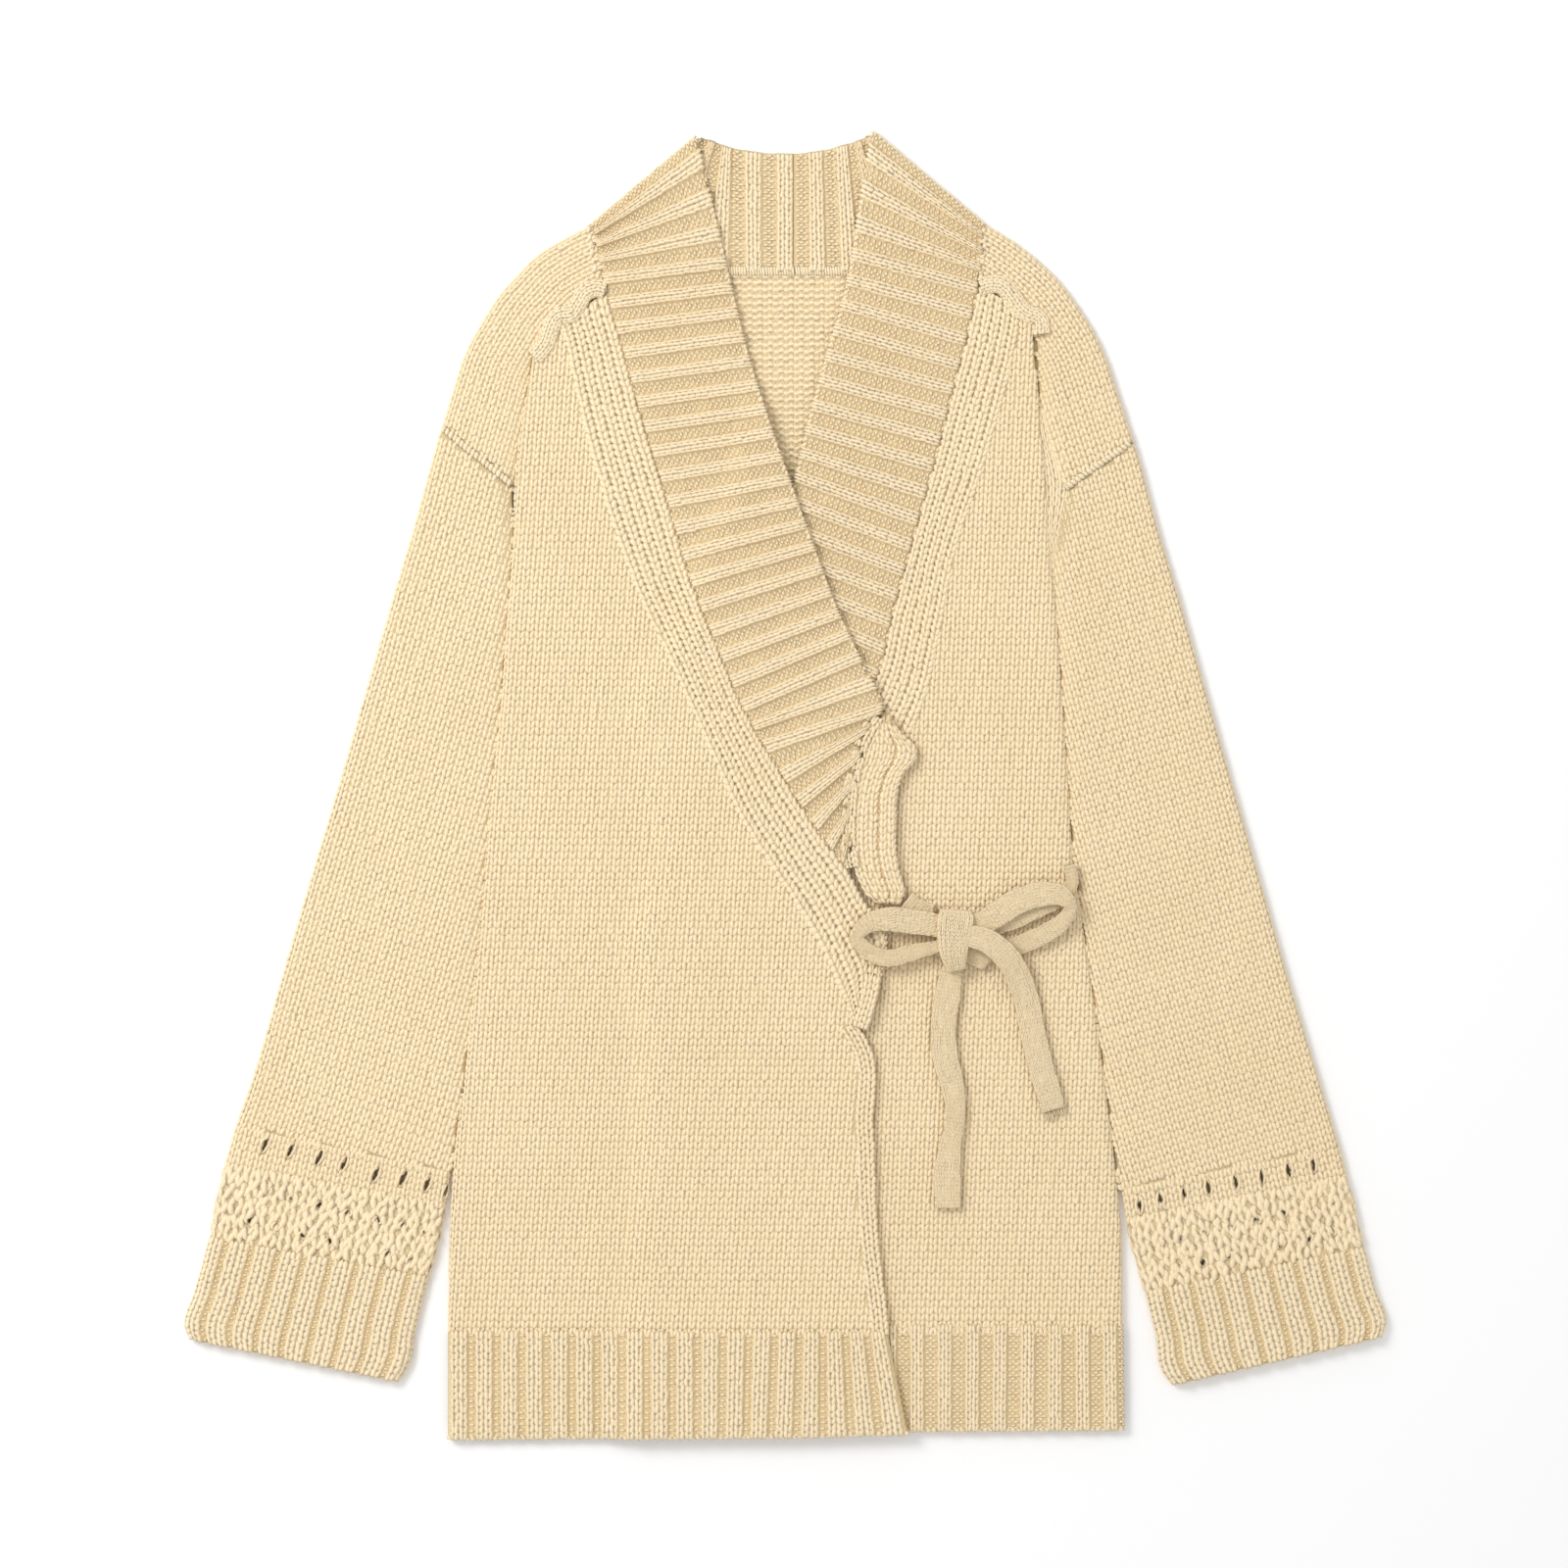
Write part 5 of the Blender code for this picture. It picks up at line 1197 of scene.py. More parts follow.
def make_front(side, column, low, line, visible, lean):
    """One front: cloth, and stitches where it shows."""
    wale, course, _ = sizes()
    surface = front_surface(column, low, lean)
    finish = materials()
    sign = 1.0 if column == 1 else -1.0
    vs = np.linspace(-349.0, 296.0 if column == 1 else 302.0, 90)
    extra = smooth_step((ARMPIT_Y - vs) / 12.0)
    crease = line_x(SIDES, vs, column)
    crease -= sign * (profile_extra(FOLD) * extra + profile_extra(ROLL) * (1.0 - extra))
    inner = line_x(line, vs) + sign * np.where(vs > -150.0, 1.5, -0.6)
    shares = np.concatenate([np.linspace(0, 0.12, 10)[:-1], np.linspace(0.12, 1, 34)])
    us = crease[:, None] + (inner - crease)[:, None] * shares + lean * vs[:, None]
    cloth = ground(f"front_{side}_cloth", surface, us, np.repeat(vs[:, None], len(shares), axis=1),
                   finish["ground"], [f"front_{side}"])
    columns = np.arange(-280.0, 280.0, wale) + wale / 2
    rows = np.arange(-348.0, 300.0, course)
    cells = cell_grid(columns, rows, wale, course)
    place = cells[:, 0] - lean * cells[:, 1]
    arc = sign * (place - line_x(SIDES, cells[:, 1], column))
    room = sign * (line_x(line, cells[:, 1]) - place)
    top = 296.0 if column == 1 else 303.0
    free = cells[:, 1] < -152.0
    keep = (arc > -4.4) & (cells[:, 1] < top) & visible(place, cells[:, 1])
    keep &= room > np.where(free, 1.9 * wale, -0.35 * wale)
    keep &= (cells[:, 1] < ARMPIT_Y) | (arc > -1.0)
    weave = Weave(11 + column)
    lay_knit(weave, surface, cells[keep], leg=PLAIN_LEG)
    if column == 1:
        ys = np.arange(-349.0, -150.0, 6.0)
        border = line_surface(np.stack([line_x(line, ys) - 0.45 * wale, ys], axis=1), upper(low))
        lay_knit(weave, border, cell_grid([0.0, -wale], np.arange(1.0, border.length, course), wale, course),
                 lift=0.4)
    stitches = weave.finish(f"front_{side}_stitches", finish["body"], "body_knit")
    declare(cloth, "laid", ["back_panel_cloth"], stitches)


def make_edge_panel(name, table, body, seed, wale=None, tuck=0.0, rolls=(), folds=(), seam=(), beside=()):
    """A sleeve or saddle: wales beside its outer edge, cut off by its own outline."""
    body_wale, course, _ = sizes()
    wale = wale or body_wale
    table = pushed(table, tuck)
    surface = edge_surface(table, under_low, TUCK)
    finish = materials()
    rows = dense(table, 6.0)[::-1]
    tube = tube_like(rows, under_low)
    cloth = ground(f"{name}_cloth", tube, np.linspace(0.0, 1.0, 30), np.linspace(0.0, 1.0, len(rows)),
                   finish["ground"], [body], uv_scale=(surface.width, surface.length))
    us = np.arange(wale / 2, surface.width * 1.3 + 12.0, wale)
    vs = np.arange(-60.0, surface.length + 60.0, course)
    cells = cell_grid(us, vs, wale, course)
    points = surface(cells[:, 0], cells[:, 1])
    keep = inside(points[:, 0:2], surface.outline)
    walls = cells[:, 0] < 7.0
    keep |= walls & (cells[:, 1] > -1.0) & (cells[:, 1] < surface.length + 1.0)
    if len(seam):
        keep &= edge_distance(points[:, 0:2], photo(seam)) > 3.4
    weave = Weave(seed)
    lay_knit(weave, surface, cells[keep], leg=PLAIN_LEG)
    for points, width, rise, pitch in rolls:
        lay_roll(weave, photo(points), upper(under_low, -0.6), width, rise, pitch, 0.35)
    for points, width, rise in folds:
        lay_fold(weave, photo(points), upper(under_low, -0.4), width, rise)
    stitches = weave.finish(f"{name}_stitches", finish["body"], "body_knit")
    declare(cloth, "laid", ["back_panel_cloth"], stitches, *beside)


def make_gusset():
    """The small gusset under the left arm. Returns its cloth and its stitches."""
    finish = materials()
    rows = np.hstack([photo(np.asarray(GUSSET)[:, 0:2]), photo(np.asarray(GUSSET)[:, 2:4])])
    strip = strip_surface(rows, lambda x, y: under_low(x, y) - 1.6, GUSSET_LENGTH, 0.0, lambda u: 0.0 * u,
                          (False, False))
    cloth = ground("sleeve_left_gusset_cloth", strip, np.linspace(0, GUSSET_LENGTH, 24),
                   np.linspace(0, 1, 8), finish["ground"], [])
    weave = Weave(26)
    cells = cell_grid(np.arange(0.125, 1.0, 0.25), np.arange(1.0, GUSSET_LENGTH, 3.4), 0.25, 3.6)
    lay_knit(weave, lambda u, v: strip(v, u), cells, height=0.6, leg=PLAIN_LEG)
    return cloth, weave.finish("sleeve_left_gusset_stitches", finish["body"], "body_knit")


def make_openwork(side, table, slits, seed, lean):
    """The openwork band's upper layer: slits between plain stitches, then bold ones round small holes."""
    wale, course, _ = sizes()
    finish = materials()
    surface = tube_surface(table)
    first, last = np.asarray(table[0], float), np.asarray(table[-1], float)
    down = last[0:2] - first[0:2]
    tilt = math.atan2(down[0], down[1]) + math.pi + lean
    marks = photo(slits)
    holes = [(x, y, 4.9, 1.3, tilt) for x, y in marks]
    for row, shift in ((0.40, 0.45), (0.68, 0.1)):
        for a, b in zip(marks, np.vstack([marks[1:], 2 * marks[-1] - marks[-2]])):
            x, y = a + (b - a) * shift + down * row
            holes.append((x, y, 2.0, 1.7, tilt))
    holes = np.asarray(holes)
    us = np.concatenate([np.linspace(0.0, 0.5, 70), np.linspace(0.5, 1.0, 70)[1:]])
    cloth = ground(f"openwork_{side}_cloth", surface, us, np.linspace(-0.6, surface.length + 0.6, 56),
                   finish["ground"], [f"openwork_{side}_top"], uv_scale=(surface.width, 1.0),
                   holes=holes)
    weave = Weave(seed)
    count = int(surface.width / wale)
    plain = cell_grid((np.arange(count) + 0.5) / count, np.arange(46.0, surface.length + 0.5, course),
                      1.0 / count, course)
    bold = []
    for index, v in enumerate(np.arange(2.6, 46.0, 4.5)):
        across = (np.arange(18) + (0.5 if index % 2 else 0.0)) / 17.5
        bold.append(cell_grid(across[(across > 0.02) & (across < 0.98)], [v], 1.0 / 17.5, 7.4))
    for cells, leg, lift, height, wander in ((plain, PLAIN_LEG, 0.0, 1.0, 0.03),
                                             (np.vstack(bold), BOLD_LEG, 0.25, 1.3, 0.10)):
        for mirror in (False, True):
            aside = -0.25 if mirror else 0.25
            middles = surface(cells[:, 0] + aside * cells[:, 2], cells[:, 1] + 0.1 * cells[:, 3])
            clear = ~in_hole(middles, holes * (1.0, 1.0, 1.05, 1.5, 1.0), 1.0)
            weave.lay(surface, cells[clear], leg, (1.0, 0.0), lift, height, mirror, wander)
    lay_rims(weave, surface, holes, lean)
    stitches = weave.finish(f"openwork_{side}_stitches", finish["body"], "openwork_knit")
    declare(cloth, "laid", [f"openwork_{side}_under_cloth"], stitches)


def make_cuff(side, table, seed):
    """A cuff's upper layer."""
    _, _, rib_course = sizes()
    finish = materials()
    wave = lambda u: RIB_RISE * rib_wave(u * CUFF_RIBS, CUFF_KNIT)
    surface = tube_surface(table, wave)
    us = rib_steps(CUFF_RIBS, CUFF_KNIT) / CUFF_RIBS
    cloth = ground(f"cuff_{side}_cloth", surface, us, np.linspace(0.0, surface.length + 0.6, 18),
                   finish["ground"], [f"cuff_{side}_top"], uv_scale=(surface.width, 1.0))
    count = int(round(surface.length / rib_course))
    knit, purl = rib_cells(0, CUFF_RIBS, lambda u: count, surface.length, CUFF_KNIT, 2, 1,
                           lambda u: count + 2)
    weave = Weave(seed)
    for cells, purled in ((knit, False), (purl, True)):
        cells = cells * (1.0 / CUFF_RIBS, 1.0, 1.0 / CUFF_RIBS, 1.0)
        cells = cells[(cells[:, 0] > 0.02) & (cells[:, 0] < 0.98)]
        if purled:
            weave.lay(surface, cells, BUMP, (0.0, 1.0), 0.25, 1.0)
        else:
            lay_knit(weave, surface, cells, height=0.8, leg=RIB_LEG)
    stitches = weave.finish(f"cuff_{side}_stitches", finish["body"], "rib_knit")
    declare(cloth, "laid", [f"cuff_{side}_under_cloth"], stitches)


def make_band(side, sign, outer_line, inner_line, table, low, seed):
    """A five-wale band, with one line of stitches on each ridge."""
    _, course, _ = sizes()
    finish = materials()
    surface = band_surface(band_rows(sign, outer_line, inner_line, table), low)
    cloth = ground(f"band_{side}_cloth", surface, np.linspace(0.0, BAND_RIBS, 31),
                   np.linspace(0.0, surface.length, 110), finish["ground"], [f"band_{side}"],
                   uv_scale=(6.5, 1.0))
    cells = cell_grid(np.arange(BAND_RIBS) + 0.5, np.arange(3.0, surface.length, course), 1.0, course)
    weave = Weave(seed)
    lay_knit(weave, surface, cells, leg=PLAIN_LEG)
    if side == "right":
        edge = np.asarray([(x - 2.0, y) for y, x in INNER_RIGHT[:5]])
        border = line_surface(lengthen(edge, 1.5), upper(low, 1.5))
        cells = cell_grid([0.0, -5.0], np.arange(1.0, 36.0, course), 5.2, course)
        lay_knit(weave, border, cells, leg=PLAIN_LEG)
        lay_roll(weave, edge + (2.0, 0.0), upper(low, -1.6), 3.6, 1.6, 4.0)
    stitches = weave.finish(f"band_{side}_stitches", finish["body"], "rib_knit")
    declare(cloth, "laid", ["back_panel_cloth"], stitches)


def make_collar(side, sign, line, table, back_table, low, seed):
    """A collar's front half with its fold at the side of the neck."""
    _, _, rib_course = sizes()
    finish = materials()
    surface = collar_surface(sign, line, table, back_table, low)
    us = np.concatenate([np.linspace(surface.start, -0.02, 8), rib_steps(COLLAR_RIBS, COLLAR_KNIT)])
    vs = np.concatenate([[0.0, 0.012, 0.03], np.linspace(0.08, 0.92, 12), [0.97, 0.988, 1.0]])
    cloth = ground(f"collar_{side}_cloth", surface, us, vs, finish["ground"], [f"collar_{side}"],
                   uv_scale=(surface.pitch, 78.0))
    width = lambda u: float(surface.width(np.array([max(u, 0.0)]))[0])
    courses = lambda u: max(1, int(round(width(u) / rib_course)))
    bumps = lambda u: max(1, int(round(width(u) / (0.89 * rib_course))))
    limit = COLLAR_RIBS - 0.4
    knit, purl = rib_cells(-1, COLLAR_RIBS, courses, 1.0, COLLAR_KNIT, purl_courses=bumps)
    knit = knit[(knit[:, 0] > surface.start + 0.1) & (knit[:, 0] < limit)]
    purl = purl[(purl[:, 0] > surface.start + 0.1) & (purl[:, 0] < limit)]
    weave = Weave(seed)
    lay_knit(weave, surface, knit, height=0.8, leg=RIB_LEG)
    lay_bumps(weave, surface, purl, purl[:, 0] % 1.0 > 0.5, 0.1, 0.9)
    seam = np.asarray(table, float)[:, 0]
    seam_line = np.stack([line_x(line, seam), seam], axis=1)
    lay_roll(weave, seam_line, upper(low, -1.3), 3.4, 0.7, 4.4)
    free = np.asarray(table, float)[:10, 1:3]
    lay_roll(weave, free - (sign * 0.8, 0.0), upper(low, -1.2), 3.6, 1.0, 3.9)
    stitches = weave.finish(f"collar_{side}_stitches", finish["body"], "rib_knit")
    declare(cloth, "folded", ["back_panel_cloth"], stitches)


def make_back_collar(side, table, seed, pitch, shift):
    """A collar's back half, whose inner face shows inside the neck."""
    _, _, rib_course = sizes()
    finish = materials()
    back = back_collar_surface(table, pitch, shift)
    inner = np.arange(0.0, back.length, 1.6)
    sheet = ground(f"collar_back_{side}_cloth", back, inner, np.linspace(0.0, 1.0, 18), finish["ground"],
                   [], thick=1.6, uv_scale=(1.0, BACK_COLLAR_HEIGHT))
    count = int(round(BACK_COLLAR_HEIGHT / rib_course))
    ribs = int(back.length / pitch) + 2
    knit, purl = rib_cells(-1, ribs, lambda u: count, 1.0, BACK_COLLAR_KNIT,
                           purl_courses=lambda u: int(count * 1.1))
    weave = Weave(seed)
    first = purl[:, 0] % 1.0 > 0.5
    for cells, purled in ((knit, False), (purl, True)):
        cells = cells.copy()
        cells[:, 0] = (cells[:, 0] - shift) * pitch
        cells[:, 2] *= pitch
        cells[:, 1] *= 0.972
        keep = (cells[:, 0] > 0.9) & (cells[:, 0] < back.length - 12.0)
        if purled:
            lay_bumps(weave, back, cells[keep], first[keep], 0.1, 0.9)
        else:
            lay_knit(weave, back, cells[keep], height=0.8, leg=RIB_LEG)
    floor = lambda x, y: 0.0 * x + CLOTH + 0.2
    lay_roll(weave, np.asarray(table, float)[:4, 0:2], floor, 6.5, 1.0, 1.7, 0.3)
    stitches = weave.finish(f"collar_back_{side}_stitches", finish["body"], "rib_knit")
    declare(sheet, "folded", ["back_panel_cloth"], stitches)


def make_tab():
    """The tab at the collar's end: wales beside a groove, joined to the collar by spaced stitches."""
    finish = materials()
    _, course, _ = sizes()
    rows = np.asarray(TAB, float)[::-1]
    crown = lambda v: 1.2 * smooth_step((v - 0.62) / 0.1) - 1.6 * np.exp(-((v - 0.6) / 0.04) ** 2)
    strip = strip_surface(rows, over_low, TAB_LENGTH, 0.0, lambda u: 0.0 * u)
    shaped = lambda u, v: strip(u, v) + np.stack([0.0 * u, 0.0 * u, crown(v)], axis=1)
    cloth = ground("collar_tab_cloth", shaped, np.linspace(0, TAB_LENGTH, 60),
                   np.concatenate([np.linspace(0, 0.5, 8), np.linspace(0.55, 1.0, 14)]), finish["ground"],
                   ["collar_tab"])
    cells = []
    for v in np.arange(1.0, TAB_LENGTH - 0.5, course):
        width = float(strip.width(np.array([v]))[0])
        for start, end in ((0.0, 0.605), (0.62, 1.0)):
            count = max(1, int(round(width * (end - start) / 5.6)))
            step = (end - start) / count
            cells += [(start + (k + 0.5) * step, v, step, course) for k in range(count)]
    weave = Weave(55)
    lay_knit(weave, lambda u, v: shaped(v, u), np.asarray(cells), leg=PLAIN_LEG)
    lay_roll(weave, rows[:, 2:4] - (1.0, 0.0), upper(over_low, -1.4), 3.6, 1.8, 4.0)
    holes = np.asarray([(x, y, 3.2, 1.5, -0.5) for x, y in photo(EYELETS)])
    join = line_surface(photo(JOIN), upper(over_low, -2.0))
    strip_cloth = ground("collar_join_cloth", join, np.linspace(-3.6, 3.6, 9),
                         np.arange(0.0, join.length, 1.0), finish["ground"], [], sink=0.6,
                         thick=1.2, holes=holes)
    over = line_surface(photo(JOIN), upper(over_low, 0.9))
    links = cell_grid([-2.3, 2.3], np.arange(0.5, join.length, 3.8), 4.6, 3.9)
    places = over(links[:, 0], links[:, 1])
    lay_knit(weave, over, links[~in_hole(places, holes, 1.2)], leg=PLAIN_LEG, wander=0.06)
    stitches = weave.finish("collar_tab_stitches", finish["body"], "rib_knit")
    declare(cloth, "laid", ["front_left_cloth"], stitches, strip_cloth)


def make_hem(side, table, ribs, low, seed, knit_share, purl_wales):
    """A stretch of the hem's ribs."""
    _, _, rib_course = sizes()
    finish = materials()
    rows = np.asarray(table, float)[:, (2, 3, 0, 1)]
    surface = strip_surface(rows, low, ribs, RIB_RISE, lambda u: rib_wave(u, knit_share), (True, False))
    vs = np.concatenate([[0.0, 0.015, 0.04], np.linspace(0.1, 1.0, 11)])
    cloth = ground(f"hem_{side}_cloth", surface, rib_steps(ribs, knit_share), vs, finish["ground"],
                   [f"hem_rib_{side}"], uv_scale=(surface.length / ribs, HEM_HEIGHT))
    count = int(round(HEM_HEIGHT / rib_course))
    knit, purl = rib_cells(0, ribs, lambda u: count, 1.0, knit_share, 2, purl_wales, lambda u: count + 2)
    weave = Weave(seed)
    lay_knit(weave, surface, knit[knit[:, 0] < ribs - 0.1], height=0.8, leg=RIB_LEG)
    purl = purl[purl[:, 0] < ribs - 0.1]
    first = (purl[:, 0] % 1.0 > 0.5) & (purl_wales == 2)
    lay_bumps(weave, surface, purl, first, 0.0, 0.9)
    lay_roll(weave, rows[:, 0:2] + (0.0, 1.0), upper(low, -1.8), 4.0, 1.6, 3.6)
    stitches = weave.finish(f"hem_{side}_stitches", finish["body"], "rib_knit")
    declare(cloth, "laid", ["back_panel_cloth"], stitches)


def strap_mesh(name, surface):
    """A strap's closed mesh, drawn in a little below its stitches."""
    around = 24
    rows = int(surface.length / 3.0) + 3
    steps = np.arange(around) / around
    u, v = np.meshgrid(steps, np.linspace(0.0, surface.length, rows))
    points = surface(u.ravel(), v.ravel())
    middle = points.reshape(rows, around, 3).mean(axis=1)[:, None, :]
    points = (middle + (points.reshape(rows, around, 3) - middle) * (0.99, 0.99, 0.92)).reshape(-1, 3)
    faces = []
    for i in range(rows - 1):
        for k in range(around):
            a, b = i * around + k, i * around + (k + 1) % around
            faces.append((a, b, b + around, a + around))
    last = (rows - 1) * around
    faces.append(tuple(range(around))[::-1])
    faces.append(tuple(range(last, last + around)))
    mesh = bpy.data.meshes.new(name)
    mesh.from_pydata(to_frame(points).tolist(), [], faces)
    side = np.tile(np.abs(2 * steps - 1.0) * 33.0, rows)
    finish_grid(mesh, np.stack([side, v.ravel()], axis=1))
    turn_outwards(mesh)
    return mesh


def lay_fringe(weave, table, corner):
    """Loose ends of yarn past the last row of a strap."""
    end, before = np.asarray(table[-1], float), np.asarray(table[-2], float)
    ahead = (end - before) / np.linalg.norm((end - before)[0:2])
    fringe = strap_surface([end - ahead, end + 7.0 * ahead * (1.0, 1.0, 0.0, 0.0, 0.0)], corner)
    ends = cell_grid((np.arange(9) + 0.5) / 9, [2.6], 1.0 / 9, 6.5)

    def level(t, v):
        across = fringe(0.0 * t, v) - fringe(0.5 + 0.0 * t, v)
        return fringe(0.25 + 0.0 * t, v) + across * (t - 0.5)[:, None] * 0.9

    weave.lay(level, ends, STRAND, (1.0, 0.0), -1.6, 1.0, False, 0.1)


def make_strap(name, table, corner, frayed=False):
    """One stretch of the tie: a closed flat sleeve of cloth with fine stitches along its upper side."""
    finish = materials()
    surface = strap_surface(table, corner)
    mesh = strap_mesh(f"{name}_strap", surface)
    piece = add_piece(f"{name}_strap", mesh, finish["tie"])
    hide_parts(name)
    weave = Weave(71 + len(name))

    def top(t, v):
        side = np.clip(2.0 * t - 1.0, -1.0, 1.0)
        return surface(np.arccos(np.sign(side) * np.abs(side) ** (1.0 / corner)) / (2 * np.pi), v)

    cells = cell_grid((np.arange(TIE_WALES) + 0.5) / TIE_WALES, np.arange(1.0, surface.length, TIE_COURSE),
                      1.0 / TIE_WALES, TIE_COURSE)
    lay_knit(weave, top, cells, lift=0.08, height=0.36, leg=PLAIN_LEG, wander=0.04)
    if frayed:
        lay_fringe(weave, table, corner)
    stitches = weave.finish(f"{name}_stitches", finish["yarn"], "tie_knit")
    width = float(np.asarray(table)[:, 3].mean()) * MM
    declare(piece, "folded", ["front_left_cloth"], stitches, flat=(surface.length * MM, 2.2 * width))


class KNIT_OT_back(bpy.types.Operator):
    """Knit the back and the under layers"""

    bl_idname = "knit.back"
    bl_label = "Back"

    def execute(self, context):
        make_back()
        make_under("hem_rib_back", HEM_BACK, "rib_knit")
        for side, sleeve, openwork, cuff in (("right", SLEEVE_RIGHT, OPENWORK_RIGHT, CUFF_RIGHT),
                                             ("left", SLEEVE_LEFT, OPENWORK_LEFT, CUFF_LEFT)):
            make_under(f"sleeve_{side}_under", sleeve, "body_knit")
            make_under(f"openwork_{side}_under", openwork, "openwork_knit")
            make_under(f"cuff_{side}_under", cuff, "rib_knit")
        return {"FINISHED"}


class KNIT_OT_fronts(bpy.types.Operator):
    """Knit both fronts"""

    bl_idname = "knit.fronts"
    bl_label = "Fronts"

    def execute(self, context):
        make_front("right", 1, over_low, OUTER_RIGHT, lambda x, y: np.ones(len(x), bool), -0.083)
        seen = lambda x, y: x > np.where(y < -140.0, 40.0, line_x(OUTER_RIGHT, y) + 20.0)
        make_front("left", 2, under_low, OUTER_LEFT, seen, -0.05)
        return {"FINISHED"}


class KNIT_OT_sleeves(bpy.types.Operator):
    """Knit the saddles and the sleeves"""

    bl_idname = "knit.sleeves"
    bl_label = "Sleeves and saddles"

    def execute(self, context):
        neck_roll = (3.4, 0.9, 5.0)
        seam_roll = (5.0, 1.9, 3.0)
        make_edge_panel("saddle_right", SADDLE_RIGHT, "saddle_right", 21, tuck=4.0,
                        rolls=((ARMHOLE_RIGHT, *seam_roll), (NECK_RIGHT, *neck_roll)),
                        folds=((SHOULDER_RIGHT, 12.0, 2.6),))
        make_edge_panel("saddle_left", SADDLE_LEFT, "saddle_left", 22, tuck=4.0,
                        rolls=((ARMHOLE_LEFT, *seam_roll), (NECK_LEFT, *neck_roll)),
                        folds=((SHOULDER_LEFT, 12.0, 2.6),))
        make_edge_panel("sleeve_right", SLEEVE_RIGHT, "sleeve_right_top", 23, wale=6.0,
                        tuck=(2, 4, 4, 4, 4, 4, 4, 4, 3, 1.4), seam=ARMHOLE_RIGHT)
        make_edge_panel("sleeve_left", SLEEVE_LEFT, "sleeve_left_top", 24, wale=5.3,
                        tuck=(3, 5, 4, 3, 3, 3, 3, 3, 2.4, 1.4), seam=ARMHOLE_LEFT, beside=make_gusset())
        return {"FINISHED"}


class KNIT_OT_openwork(bpy.types.Operator):
    """Knit the openwork bands"""

    bl_idname = "knit.openwork"
    bl_label = "Openwork"

    def execute(self, context):
        make_openwork("right", OPENWORK_RIGHT, OPENWORK_SLITS_RIGHT, 31, 0.22)
        make_openwork("left", OPENWORK_LEFT, OPENWORK_SLITS_LEFT, 32, -0.14)
        return {"FINISHED"}


class KNIT_OT_cuffs(bpy.types.Operator):
    """Knit the cuffs"""

    bl_idname = "knit.cuffs"
    bl_label = "Cuffs"

    def execute(self, context):
        make_cuff("right", CUFF_RIGHT, 33)
        make_cuff("left", CUFF_LEFT, 34)
        return {"FINISHED"}


class KNIT_OT_bands(bpy.types.Operator):
    """Knit the five-wale bands"""

    bl_idname = "knit.bands"
    bl_label = "Bands"

    def execute(self, context):
        make_band("right", 1, OUTER_RIGHT, INNER_RIGHT, BAND_RIGHT, over_low, 41)
        make_band("left", -1, OUTER_LEFT, INNER_LEFT, BAND_LEFT, under_low, 42)
        return {"FINISHED"}


class KNIT_OT_collars(bpy.types.Operator):
    """Knit the shawl collar and its tab"""

    bl_idname = "knit.collars"
    bl_label = "Collar"

    def execute(self, context):
        make_collar("right", 1, INNER_RIGHT, COLLAR_RIGHT, BACK_COLLAR_RIGHT, over_low, 51)
        make_back_collar("right", BACK_COLLAR_RIGHT, 52, 20.2, 0.183)
        make_collar("left", -1, INNER_LEFT, COLLAR_LEFT, BACK_COLLAR_LEFT, under_low, 53)
        make_back_collar("left", BACK_COLLAR_LEFT, 54, 19.0, 0.759)
        make_tab()
        return {"FINISHED"}


class KNIT_OT_hem(bpy.types.Operator):
    """Knit the hem's ribs"""

    bl_idname = "knit.hem"
    bl_label = "Hem"

    def execute(self, context):
        make_hem("right", HEM_RIGHT, RIGHT_HEM_RIBS, over_low, 61, 0.73, 1)
        make_hem("left", HEM_LEFT, LEFT_HEM_RIBS, under_low, 62, 0.55, 2)
        return {"FINISHED"}


class KNIT_OT_tie(bpy.types.Operator):
    """Make the knitted tie and its bow"""

    bl_idname = "knit.tie"
    bl_label = "Tie"

    def execute(self, context):
        for name, table in (("bow_loop_right", LOOP_RIGHT), ("bow_loop_left", LOOP_LEFT),
                            ("tie_lead_right", LEAD_RIGHT), ("tie_lead_left", LEAD_LEFT),
                            ("bow_underfold", UNDERFOLD), ("tie_tail_right", TAIL_RIGHT),
                            ("tie_tail_left", TAIL_LEFT), ("bow_knot", KNOT)):
            make_strap(name, table, 0.4 if name == "bow_knot" else 0.6, name == "tie_tail_right")
        return {"FINISHED"}


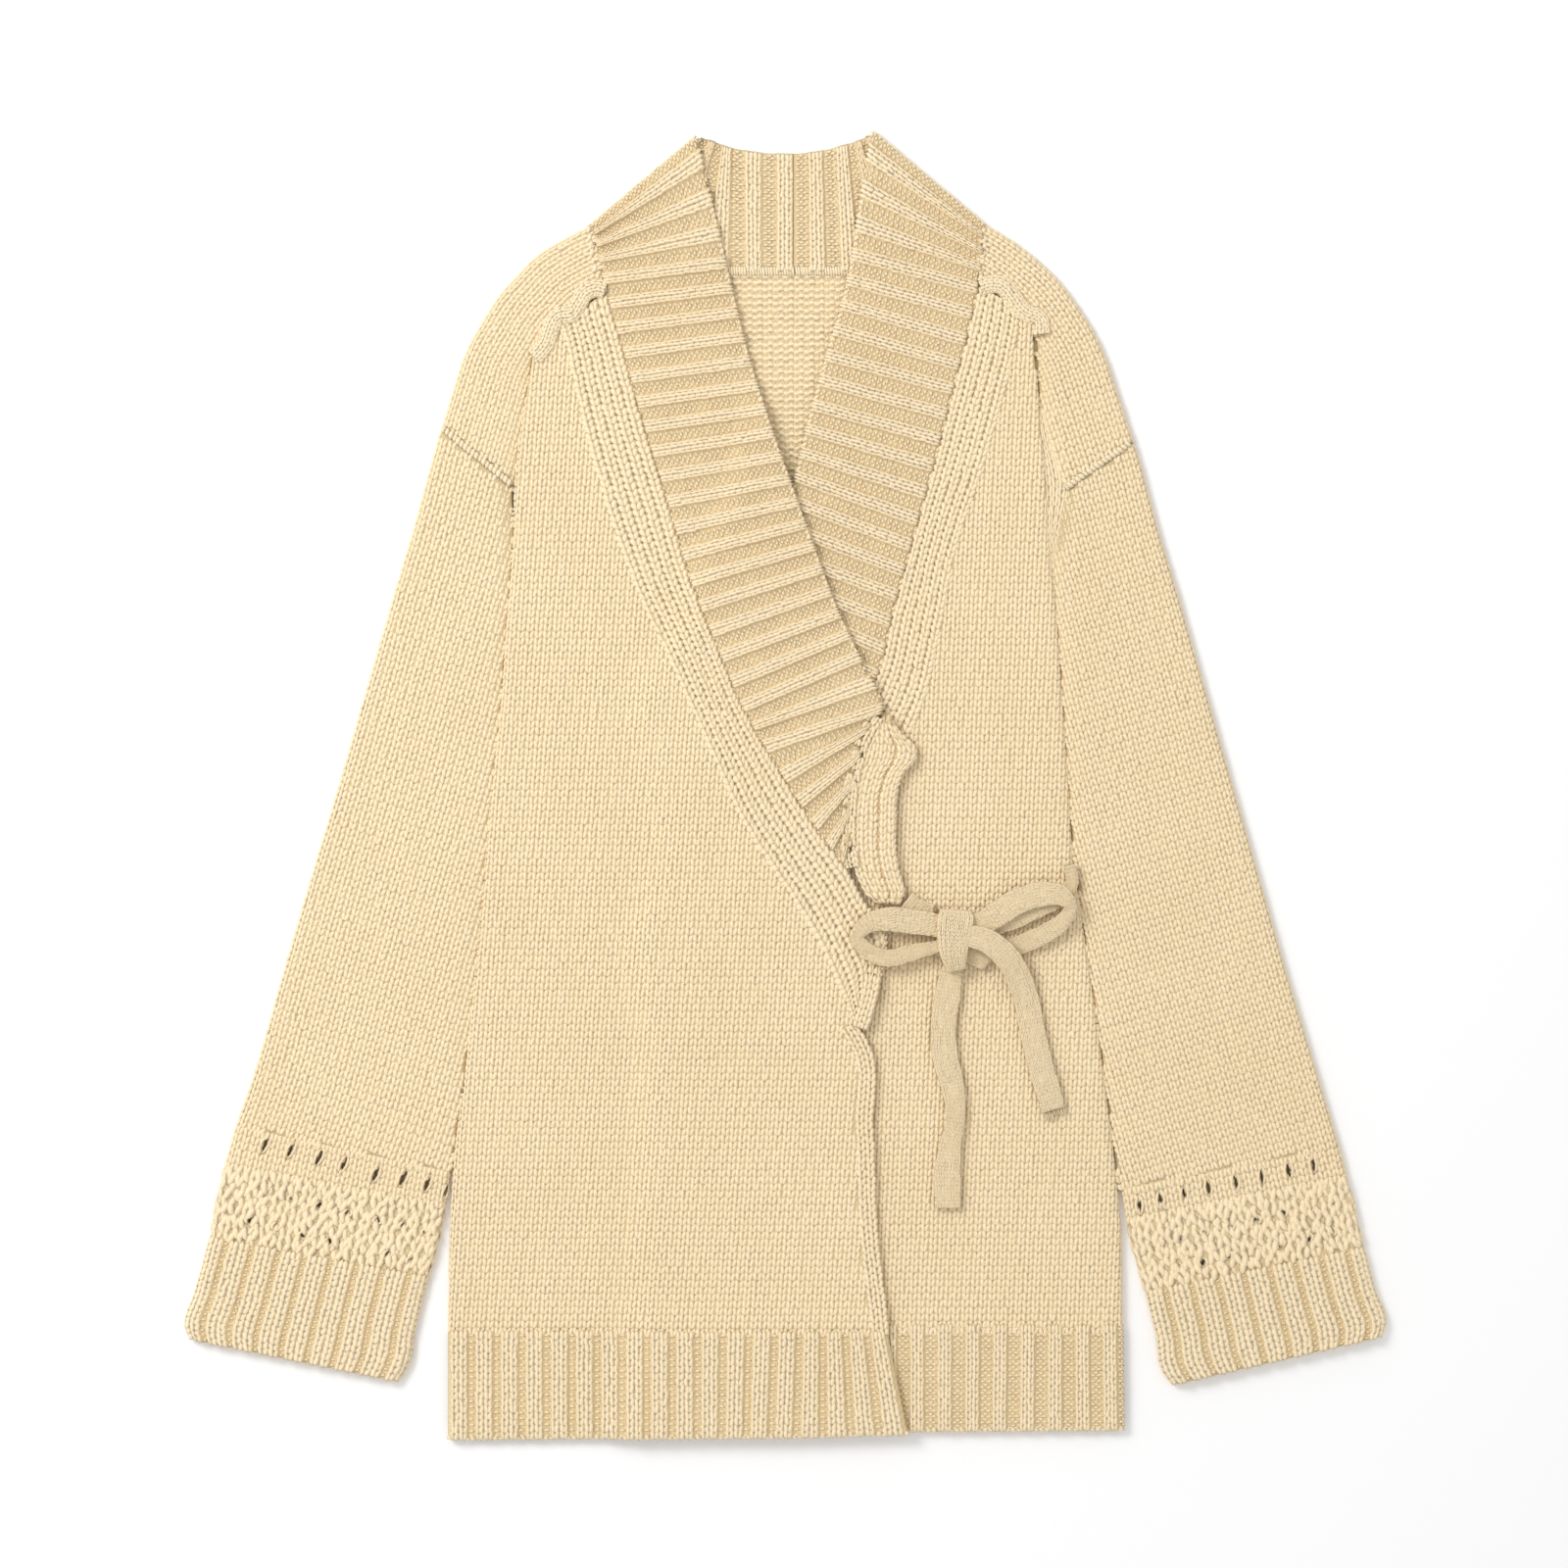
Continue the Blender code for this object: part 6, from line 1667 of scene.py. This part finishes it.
class KNIT_OT_stage(bpy.types.Operator):
    """Make the pale floor, the soft lights and the camera above"""

    bl_idname = "knit.stage"
    bl_label = "Stage"

    def execute(self, context):
        codes = context.scene.knit_colours
        context.scene.view_settings.view_transform = "Standard"
        bpy.ops.mesh.primitive_plane_add(size=8.0, location=(0.0, 0.0, 0.0))
        floor = context.object
        floor.name = "studio_floor"
        # Matt white paper: the eye sees a plain bright floor with only a soft shadow on it.
        material = bpy.data.materials.new("matt_white_paper")
        material.use_nodes = True
        shader = material.node_tree.nodes["Principled BSDF"]
        shader.inputs["Base Color"].default_value = (*codes.floor, 1.0)
        shader.inputs["Roughness"].default_value = 1.0
        floor.data.materials.append(material)
        world = bpy.data.worlds.new("soft_studio")
        context.scene.world = world
        world.use_nodes = True
        world.node_tree.nodes["Background"].inputs["Color"].default_value = (1.0, 1.0, 1.0, 1.0)
        world.node_tree.nodes["Background"].inputs["Strength"].default_value = 0.75
        key = bpy.data.lights.new("key", "AREA")
        key.energy = 42.0
        key.size = 1.1
        lamp = bpy.data.objects.new("key", key)
        lamp.location = (-1.7, 1.2, 2.0)
        lamp.rotation_mode = "QUATERNION"
        lamp.rotation_quaternion = (-lamp.location).to_track_quat("-Z", "Y")
        context.scene.collection.objects.link(lamp)
        lens = bpy.data.cameras.new("above")
        lens.lens = 85.0
        lens.sensor_width = 36.0
        camera = bpy.data.objects.new("above", lens)
        picture_width = 1.0
        focus_height = 0.0075
        middle = (photo([(800.0, 800.0)])[0] - SHIFT[0:2]) * MM
        distance = picture_width * lens.lens / lens.sensor_width
        camera.location = (middle[0], middle[1], distance + focus_height)
        context.scene.collection.objects.link(camera)
        context.scene.camera = camera
        return {"FINISHED"}


class KNIT_PT_panel(bpy.types.Panel):
    """Buttons for the jacket's pieces"""

    bl_idname = "KNIT_PT_panel"
    bl_label = "Knitted wrap jacket"
    bl_space_type = "VIEW_3D"
    bl_region_type = "UI"
    bl_category = "Knit"

    def draw(self, context):
        column = self.layout.column()
        for group in (context.scene.knit_sizes, context.scene.knit_colours):
            for name in group.__annotations__:
                column.prop(group, name)
        for step in STEPS:
            column.operator(step.bl_idname)


STEPS = (KNIT_OT_stage, KNIT_OT_back, KNIT_OT_fronts, KNIT_OT_sleeves, KNIT_OT_openwork, KNIT_OT_cuffs,
         KNIT_OT_bands, KNIT_OT_collars, KNIT_OT_hem, KNIT_OT_tie)
CLASSES = (KnitSizes, KnitColours, *STEPS, KNIT_PT_panel)


def register():
    """Register the classes and the scene's properties."""
    for item in CLASSES:
        bpy.utils.register_class(item)
    bpy.types.Scene.knit_sizes = bpy.props.PointerProperty(type=KnitSizes)
    bpy.types.Scene.knit_colours = bpy.props.PointerProperty(type=KnitColours)


def unregister():
    """Take the classes and properties away again."""
    del bpy.types.Scene.knit_colours
    del bpy.types.Scene.knit_sizes
    for item in reversed(CLASSES):
        bpy.utils.unregister_class(item)


def main():
    """Make the whole jacket."""
    register()
    bpy.ops.object.select_all(action="DESELECT")
    for step in STEPS:
        group, name = step.bl_idname.split(".")
        getattr(getattr(bpy.ops, group), name)()


if __name__ == "__main__":
    main()
